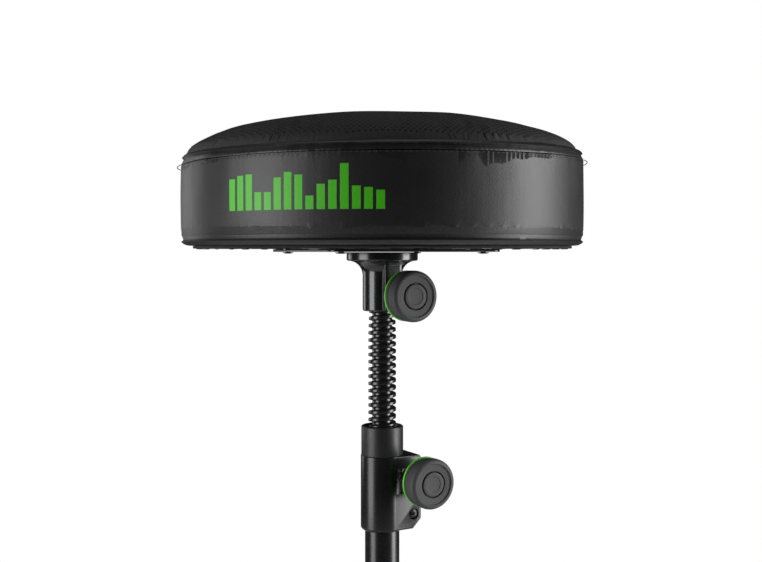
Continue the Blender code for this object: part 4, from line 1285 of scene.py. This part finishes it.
class OBJECT_OT_throne_spindle(bpy.types.Operator):
    """The screw spindle, with its thread run out near the top, and its hidden guide"""

    bl_idname = "object.throne_spindle"
    bl_label = "Screw Spindle"

    def execute(self, context):
        foot, head = low("spindle"), top("spindle")
        thread_top = SOCKET_Z + 2 * MM
        shape = threaded(11.5 * MM, 8.2 * MM, 6 * MM, (2.4 * MM, 1.9 * MM), foot, thread_top,
                         steps=48, soft=0.45 * MM, taper=(3.5, 0.8 * MM))
        shape.transform(ON_AXIS)
        shank = spun(filleted([(0, thread_top - MM), (10 * MM, thread_top - MM, 0.4 * MM),
                               (10 * MM, head, MM), (0, head)]), steps=64)
        piece("spindle_screw", added(shape, turned_to(shank, ON_AXIS)), "black_thread_steel",
              "spindle", ["spindle"], sharp=50)
        dress("guide_bush", "black_nylon")
        dress("guide_screw", "zinc_plate")
        return {'FINISHED'}


class OBJECT_OT_throne_spindle_nut(bpy.types.Operator):
    """The flanged nut on top of the housing, dished round its bore"""

    bl_idname = "object.throne_spindle_nut"
    bl_label = "Spindle Nut"

    def execute(self, context):
        radius = 17.4 * MM
        foot = low("spindle_nut")
        shank = TUBE_RADIUS - 1.8 * MM
        bore = 12.15 * MM
        outline = [(bore, NUT_TOP - 2.6 * MM, 0.4 * MM), (13.8 * MM, NUT_TOP, 0.5 * MM),
                   (radius, NUT_TOP, 1.3 * MM), (radius, NUT_Z, 0.5 * MM), (shank, NUT_Z),
                   (shank, foot, 0.8 * MM), (bore, foot)]
        shape = spun(filleted(outline, closed=True, steps=6), steps=96, ring=True)
        shape.transform(ON_AXIS)
        piece("spindle_nut_sleeve", shape, "black_nylon", "base", ["spindle_nut"],
              sharp=40)
        return {'FINISHED'}


# ---------------------------------------------------------------- tube and clamp housing

class OBJECT_OT_throne_tube(bpy.types.Operator):
    """The base tube and the plug in its foot"""

    bl_idname = "object.throne_tube"
    bl_label = "Base Tube"

    def execute(self, context):
        foot, head = low("base_tube"), top("base_tube")
        bore = TUBE_RADIUS - 1.5 * MM
        outline = [(bore, head), (TUBE_RADIUS, head, 0.4 * MM), (TUBE_RADIUS, foot, 0.4 * MM),
                   (bore, foot)]
        tube = spun(filleted(outline, closed=True), steps=96, ring=True)
        slit = box((0, -1.2 * MM, HOUSING_Z + 2.5 * MM), (20 * MM, 1.2 * MM, head + MM))
        tube = carved(tube, turned_to(slit, Matrix.Rotation(LUG_AZIMUTH, 4, 'Z')))
        piece("base_tube_steel", turned_to(tube, ON_AXIS), "powder_coat", "base", ["base_tube"])
        lip, plug_top = low("tube_end_plug"), top("tube_end_plug")
        outline = [(0, plug_top - MM), (8 * MM, plug_top - MM), (9 * MM, plug_top, 0.4 * MM),
                   (bore - 1.5 * MM, plug_top, 0.4 * MM), (bore - 0.35 * MM, plug_top - 2 * MM),
                   (bore - 0.35 * MM, lip + 3 * MM), (TUBE_RADIUS, lip + 3 * MM, 0.3 * MM),
                   (TUBE_RADIUS, lip, 1.1 * MM), (4 * MM, lip, 0.5 * MM),
                   (3.4 * MM, lip + 0.6 * MM), (0, lip + 0.6 * MM)]
        plug = spun(filleted(outline), steps=64)
        piece("tube_end_plug_moulding", turned_to(plug, ON_AXIS), "black_nylon", "base",
              ["tube_end_plug"])
        return {'FINISHED'}


class OBJECT_OT_throne_clamp_housing(bpy.types.Operator):
    """The split clamp on top of the tube, with its lug, and the small screw that closes it"""

    bl_idname = "object.throne_clamp_housing"
    bl_label = "Clamp Housing"

    def execute(self, context):
        radius = 17.8 * MM
        bore = BORE
        head, foot = top("clamp_housing"), HOUSING_Z
        outline = [(bore, head), (radius, head, 0.6 * MM), (radius, foot, 2.5 * MM), (bore, foot)]
        sleeve = spun(filleted(outline, closed=True, steps=6), steps=96, ring=True)
        # Here +X runs out along the lug and -Y faces the knob.
        reach_out, front, back = 27.5 * MM, 17.5 * MM, 11 * MM
        upright = Matrix.Rotation(pi / 2, 4, 'X')
        side = [(0, foot + MM), (reach_out - 8 * MM, foot + MM, 2 * MM),
                (reach_out, foot + 9 * MM, 2 * MM), (reach_out, head, 2.5 * MM), (0, head)]
        lug = eased(turned_to(slab(filleted(side, closed=True), -back, front), upright),
                    1.1 * MM, over=50, segments=3)
        pocket = box((-6 * MM, -front - 6 * MM, head - 31 * MM),
                     (reach_out + 6 * MM, -7 * MM, head - 10 * MM))
        lug = carved(lug, eased(pocket, 1.2 * MM, segments=3))
        body = fused(sleeve, lug)
        body = carved(body, rod(bore, foot - MM, head + MM, 96))
        body = carved(body, box((0, -1.2 * MM, foot - MM), (reach_out + MM, 1.2 * MM, head + MM)))
        knob_z = joint_place("height_knob_turn").z
        screw_z = middle("clamp_screw").z
        along = 20 * MM
        for z, hole, near, far in ((knob_z, 4.3 * MM, -25 * MM, 25 * MM),
                                   (screw_z, 2.8 * MM, -25 * MM, 25 * MM),
                                   (screw_z, 4.6 * MM, front - 3.5 * MM, 25 * MM)):
            drill = turned_to(rod(hole, near, far, 40), Matrix.Translation((along, 0, z)) @ upright)
            body = carved(body, drill)
        place = ON_AXIS @ Matrix.Rotation(LUG_AZIMUTH, 4, 'Z')
        piece("clamp_housing_casting", turned_to(body, place), "powder_coat", "base",
              ["clamp_housing"], sharp=35)
        face, seat = front - 0.4 * MM, front - 3.2 * MM
        screw = filleted([(0, face), (2.6 * MM, face), (4 * MM, face - 0.6 * MM, 0.4 * MM),
                          (4 * MM, seat), (2.5 * MM, seat), (2.5 * MM, -back - MM),
                          (0, -back - MM)])
        shape = cross_recessed(spun(screw, steps=40), face, 1.8 * MM, 2.1 * MM, 1, 0.5)
        shape.transform(place @ Matrix.Translation((along, 0, screw_z)) @ upright)
        piece("clamp_screw_steel", shape, "black_oxide", "base", ["clamp_screw"])
        return {'FINISHED'}


# ---------------------------------------------------------------- collars and legs

class OBJECT_OT_throne_collars(bpy.types.Operator):
    """The sliding and fixed collars, each with three tongues for the legs or braces"""

    bl_idname = "object.throne_collars"
    bl_label = "Collars"

    def execute(self, context):
        leg_z = joint_place("leg_1_fold").z
        brace_z = joint_place("brace_1_fold").z
        collar_radius = 19.1 * MM
        self.collar("leg_collar", "leg_collar", leg_z, 13.4 * MM, 25 * MM, 8 * MM, 4.3 * MM)
        self.collar("brace_collar", "base", brace_z, 6.4 * MM, collar_radius + MM, 6 * MM,
                    3.3 * MM)
        screw = filleted([(0, 1.3 * MM), (2 * MM, 1.3 * MM), (3 * MM, 0.6 * MM, 0.2 * MM),
                          (3 * MM, -4.5 * MM), (0, -4.5 * MM)])
        shape = cross_recessed(spun(screw, steps=32), 1.3 * MM, 1.4 * MM, 1.9 * MM, 1)
        front = frame_matrix(TUBE_AXIS + Vector((0, -collar_radius, brace_z)), Vector((1, 0, 0)),
                             Vector((0, 0, 1)), Vector((0, -1, 0)))
        piece("brace_collar_grub_screw", turned_to(shape, front), "black_oxide", "base",
              ["brace_collar_screw"])
        return {'FINISHED'}

    def collar(self, node, body, height, tongue, boss_reach, boss_radius, hole):
        bore, radius = BORE, TUBE_RADIUS + 4.8 * MM
        pivot = (joint_place("leg_1_fold") - TUBE_AXIS).xy.length
        foot, head = height - 10 * MM, height + 10 * MM
        outline = [(bore, foot, 0.4 * MM), (radius, foot, MM), (radius, head, MM),
                   (bore, head, 0.4 * MM)]
        shape = spun(filleted(outline, closed=True), steps=80, ring=True)
        nose = 8 * MM
        start = bore + 2 * MM
        leaf_outline = [(start, -nose), (pivot, -nose)]
        leaf_outline += [(pivot + nose * sin(radians(a)), -nose * cos(radians(a)))
                         for a in range(15, 180, 15)]
        leaf_outline += [(pivot, nose), (start, nose)]
        for leg in LEGS:
            outward = joint_place(f"leg_{leg}_fold") - TUBE_AXIS
            azimuth = atan2(outward.y, outward.x)
            leaf = eased(slab(leaf_outline, -tongue / 2, tongue / 2), 0.7 * MM, over=60)
            pin = turned_to(rod(PIN_HOLE, -20 * MM, 20 * MM, 24),
                            Matrix.Translation((pivot, 0, 0)))
            leaf = carved(leaf, pin)
            leaf.transform(Matrix.Translation((0, 0, height)) @ Matrix.Rotation(azimuth, 4, 'Z')
                           @ Matrix.Rotation(pi / 2, 4, 'X'))
            shape = fused(shape, leaf)
        across = Matrix.Translation((0, 0, height)) @ Matrix.Rotation(-pi / 2, 4, 'Z') \
            @ Matrix.Rotation(pi / 2, 4, 'Y')
        boss = spun(filleted([(0, start), (boss_radius, start), (boss_radius, boss_reach, 0.8 * MM),
                              (0, boss_reach)]), steps=40)
        shape = fused(shape, turned_to(boss, across))
        shape = carved(shape, turned_to(rod(hole, 0, 40 * MM, 32), across))
        piece(f"{node}_moulding", turned_to(shape, ON_AXIS), "black_nylon", body, [node],
              sharp=35)


def rivet_outline(face, head=1.8 * MM, radius=5 * MM):
    """Side view of a domed rivet head standing on a face."""
    return [(0, face + head), (1.6 * MM, face + head - 0.12 * MM),
            (3.2 * MM, face + head - 0.5 * MM), (4.4 * MM, face + head - 1.1 * MM),
            (radius, face + 0.3 * MM), (radius - 0.1 * MM, face)]


def bar(length, width, square_end):
    """Outline of a flat bar from one pivot: round about it, and round or square at the end."""
    half = width / 2
    turn = [(half * cos(radians(a)), half * sin(radians(a))) for a in range(90, 271, 12)]
    if square_end:
        return turn + [(length, -half), (length, half)]
    return turn + [(length - x, -y) for x, y in turn]


class OBJECT_OT_throne_legs(bpy.types.Operator):
    """The legs, braces and rivets"""

    bl_idname = "object.throne_legs"
    bl_label = "Legs and Braces"

    def execute(self, context):
        for leg in LEGS:
            pivot = joint_place(f"leg_{leg}_fold")
            foot_pivot = joint_place(f"brace_{leg}_fold")
            out = (pivot - TUBE_AXIS).xy.normalized().to_3d()
            half_rise = (pivot - foot_pivot).z / 2
            meet = (pivot + foot_pivot) / 2 + out * sqrt(LINK ** 2 - half_rise ** 2)
            place = arm_matrix(pivot, meet)
            for suffix, side in (("left", 1), ("right", -1)):
                self.strip(f"leg_{leg}_strip_{suffix}", f"leg_{leg}", place,
                           side * LEG_STRIP_OFFSET)
                node = f"leg_{leg}_link_rivet_{suffix}"
                head = rivet_outline(LEG_STRIP_OFFSET + STRIP / 2 + CLEARANCE)
                inner = LEG_STRIP_OFFSET - STRIP / 2
                stub = spun(head + [(3 * MM, head[-1][1]), (3 * MM, inner), (0, inner)],
                            steps=32)
                turn = 0 if self.side_of(node, place) > 0 else pi
                stub.transform(place @ Matrix.Translation((LINK, 0, 0))
                               @ Matrix.Rotation(turn, 4, 'X'))
                piece(f"{node}_domed", stub, "zinc_plate", f"leg_{leg}", [node])
            self.rivet(f"leg_{leg}_pivot_rivet", f"leg_{leg}", place,
                       LEG_STRIP_OFFSET + STRIP / 2)
            place = arm_matrix(foot_pivot, meet)
            self.channel(f"brace_{leg}_channel", f"brace_{leg}", place)
            self.rivet(f"brace_{leg}_pivot_rivet", f"brace_{leg}", place,
                       BRACE_STRIP_OFFSET + STRIP / 2)
        return {'FINISHED'}

    def side_of(self, node, place):
        return (place.inverted() @ middle(node)).z

    def strip(self, node, body, place, offset):
        shape = slab(bar(LEG_LENGTH, 16 * MM, True), offset - STRIP / 2, offset + STRIP / 2)
        shape = eased(shape, 0.6 * MM, over=60)
        for along in (0, LINK):
            drill = turned_to(rod(PIN_HOLE, -20 * MM, 20 * MM, 24),
                              Matrix.Translation((along, 0, 0)))
            shape = carved(shape, drill)
        if self.side_of(node, place) * offset < 0:
            shape.transform(Matrix.Rotation(pi, 4, 'X'))
        piece(f"{node}_steel", turned_to(shape, place), "powder_coat", body, [node])

    def rivet(self, node, body, place, face):
        half = rivet_outline(face + CLEARANCE) + [(3 * MM, face + CLEARANCE)]
        shape = spun(half + [(r, -z) for r, z in half[::-1]], steps=32)
        piece(f"{node}_domed", turned_to(shape, place), "zinc_plate", body, [node])

    def channel(self, node, body, place):
        flush = BRACE_STRIP_OFFSET + STRIP / 2
        width = 14 * MM
        shape = None
        for side in (1, -1):
            middle_z = side * BRACE_STRIP_OFFSET
            flange = slab(bar(LINK, width, False), middle_z - STRIP / 2, middle_z + STRIP / 2)
            flange = eased(flange, 0.6 * MM, over=60)
            flange = carved(flange, rod(PIN_HOLE, -20 * MM, 20 * MM, 24))
            shape = flange if shape is None else added(shape, flange)
        down = -1 if (place.to_3x3() @ Vector((0, -1, 0))).z < 0 else 1
        low_y, high_y = sorted((down * width / 2, down * (width / 2 - STRIP)))
        web = box((16 * MM, low_y, -flush), (LINK - 16 * MM, high_y, flush))
        shape = fused(shape, eased(web, 0.6 * MM))
        pin = turned_to(rod(3 * MM, -flush, flush, 32), Matrix.Translation((LINK, 0, 0)))
        shape = fused(shape, pin)
        piece(f"{node}_steel", turned_to(shape, place), "powder_coat", body, [node])


class OBJECT_OT_throne_feet(bpy.types.Operator):
    """The rubber shoes, ribbed underneath and stepped at their mouths"""

    bl_idname = "object.throne_feet"
    bl_label = "Rubber Feet"

    def execute(self, context):
        for leg in LEGS:
            pivot = joint_place(f"leg_{leg}_fold")
            out = (pivot - TUBE_AXIS).xy.normalized().to_3d()
            up = Vector((0, 0, 1))
            node = f"leg_{leg}_foot"
            local = frame_matrix(TUBE_AXIS, out, up, out.cross(up))
            self.foot(node, leg, local, pivot, out)
        return {'FINISHED'}

    def foot(self, node, leg, local, pivot, out):
        along = Vector((sin(LEG_ANGLE), -cos(LEG_ANGLE)))
        over = Vector((cos(LEG_ANGLE), sin(LEG_ANGLE)))
        centre = Vector(((pivot - TUBE_AXIS).dot(out), pivot.z)) + along * LEG_LENGTH
        half = 11 * MM
        under = centre - along * 30 * MM - over * half
        above = centre - along * 30 * MM + over * half
        heel = under.x + along.x * under.y / cos(LEG_ANGLE)
        toe = above.x + along.x * (above.y - 8 * MM) / cos(LEG_ANGLE)
        corners = [(*under, 1.5 * MM), (heel, 0, 2 * MM), (toe, 0, 1.6 * MM),
                   (toe, 8 * MM, 3.5 * MM), (*above, 1.5 * MM)]
        wide = 12.2 * MM
        shape = eased(slab(filleted(corners, closed=True), -wide, wide), 1.3 * MM, over=60,
                      segments=3)
        for side in (1, -1):
            slot_z = side * LEG_STRIP_OFFSET
            slot = box((LEG_LENGTH - 60 * MM, -8.3 * MM, slot_z - 1.55 * MM),
                       (LEG_LENGTH + CLEARANCE, 8.3 * MM, slot_z + 1.55 * MM))
            slot.transform(local.inverted() @ arm_matrix(pivot, pivot + out * along.x
                                                         + Vector((0, 0, along.y))))
            shape = carved(shape, slot)
        for number in range(4):
            x = heel + (toe - heel) * (number + 1) / 5
            groove = box((x - 0.9 * MM, -MM, -wide - MM), (x + 0.9 * MM, 0.9 * MM, wide + MM))
            shape = carved(shape, groove)
        piece(f"{node}_rubber", turned_to(shape, local), "foot_rubber", f"leg_{leg}", [node],
              sharp=35)


# ---------------------------------------------------------------- stage

class SCENE_OT_throne_stage(bpy.types.Operator):
    """The pale floor, the soft studio lights and the camera"""

    bl_idname = "scene.throne_stage"
    bl_label = "Stage"

    def execute(self, context):
        scene = bpy.context.scene
        floor = bmesh.new()
        bmesh.ops.create_circle(floor, cap_ends=True, radius=0.72, segments=96,
                                matrix=Matrix.Translation((0, 0, -0.0005)))
        mesh = bpy.data.meshes.new("floor")
        floor.to_mesh(mesh)
        floor.free()
        paper = Finish("studio_floor", (0.85, 0.85, 0.85), 0.8, Emission_Strength=0.02)
        paper.set("Emission Color", (1.0, 1.0, 1.0, 1.0))
        mesh.materials.append(paper.material)
        ground = bpy.data.objects.new("floor", mesh)
        scene.collection.objects.link(ground)
        scene.world = self.room()
        scene.view_settings.view_transform = 'Standard'
        self.light("left_softbox", (-1.16, -0.63, 0.5), (0.7, 1.5), 16.0)
        self.light("right_softbox", (1.28, -0.2, 0.5), (0.6, 1.5), 24.0)
        self.light("rim_softbox", (-1.0, 0.75, 0.6), (0.5, 1.0), 2.5)
        self.light("top_softbox", (0.0, 0.3, 1.9), (1.2, 1.0), 2.0)
        self.camera(scene)
        return {'FINISHED'}

    def room(self):
        """A white room to look at, and a dim one to be lit by."""
        world = bpy.data.worlds.new("studio")
        world.use_nodes = True
        tree = world.node_tree
        seen = tree.nodes["Background"]
        seen.inputs["Color"].default_value = (1.0, 1.0, 1.0, 1.0)
        lit = tree.nodes.new("ShaderNodeBackground")
        lit.inputs["Color"].default_value = (1.0, 1.0, 1.0, 1.0)
        lit.inputs["Strength"].default_value = 0.02
        path = tree.nodes.new("ShaderNodeLightPath")
        choice = tree.nodes.new("ShaderNodeMixShader")
        tree.links.new(path.outputs["Is Camera Ray"], choice.inputs["Fac"])
        tree.links.new(lit.outputs[0], choice.inputs[1])
        tree.links.new(seen.outputs[0], choice.inputs[2])
        tree.links.new(choice.outputs[0], tree.nodes["World Output"].inputs["Surface"])
        return world

    def light(self, name, place, size, power):
        lamp = bpy.data.lights.new(name, 'AREA')
        lamp.shape = 'RECTANGLE'
        lamp.size, lamp.size_y = size
        lamp.energy = power
        made = bpy.data.objects.new(name, lamp)
        made.location = place
        aim = TUBE_AXIS + Vector((0, 0, 0.45))
        made.rotation_euler = (Vector(place) - aim).to_track_quat('Z', 'Y').to_euler()
        made.visible_camera = False
        bpy.context.scene.collection.objects.link(made)

    def camera(self, scene):
        lens = bpy.data.cameras.new("camera")
        lens.lens = 50.0
        lens.sensor_width = 36.0
        lens.clip_start = 0.05
        made = bpy.data.objects.new("camera", lens)
        made.location = (TUBE_AXIS.x - MM, TUBE_AXIS.y - 0.875, PLATE_Z - 0.05 * MM)
        made.rotation_euler = (radians(90 - 1.57), 0, 0)
        scene.collection.objects.link(made)
        scene.camera = made


# ---------------------------------------------------------------- add-on

OPERATORS = (
    SCENE_OT_throne_stage,
    OBJECT_OT_throne_side_band, OBJECT_OT_throne_trim_strip, OBJECT_OT_throne_stitches,
    OBJECT_OT_throne_mesh_top, OBJECT_OT_throne_seat_core, OBJECT_OT_throne_dust_cover,
    OBJECT_OT_throne_plate, OBJECT_OT_throne_seat_socket, OBJECT_OT_throne_knobs,
    OBJECT_OT_throne_spindle, OBJECT_OT_throne_spindle_nut, OBJECT_OT_throne_tube,
    OBJECT_OT_throne_clamp_housing, OBJECT_OT_throne_collars, OBJECT_OT_throne_legs,
    OBJECT_OT_throne_feet,
)


class VIEW3D_PT_drum_throne(bpy.types.Panel):
    """The throne's pieces, in the order in which they are made"""

    bl_idname = "VIEW3D_PT_drum_throne"
    bl_label = "Drum Throne"
    bl_space_type = 'VIEW_3D'
    bl_region_type = 'UI'
    bl_category = "Drum Throne"

    def draw(self, context):
        for settings in (upholstery(), hardware()):
            for name in settings.bl_rna.properties.keys():
                if name not in ("name", "rna_type"):
                    self.layout.prop(settings, name)
        for operator in OPERATORS:
            self.layout.operator(operator.bl_idname)


CLASSES = (ThroneUpholstery, ThroneHardware, *OPERATORS, VIEW3D_PT_drum_throne)


def register():
    for each in CLASSES:
        bpy.utils.register_class(each)
    bpy.types.Scene.throne_upholstery = PointerProperty(type=ThroneUpholstery)
    bpy.types.Scene.throne_hardware = PointerProperty(type=ThroneHardware)


def unregister():
    del bpy.types.Scene.throne_hardware
    del bpy.types.Scene.throne_upholstery
    for each in reversed(CLASSES):
        bpy.utils.unregister_class(each)


def main():
    register()
    for operator in OPERATORS:
        area, name = operator.bl_idname.split(".")
        getattr(getattr(bpy.ops, area), name)()


if __name__ == "__main__":
    main()
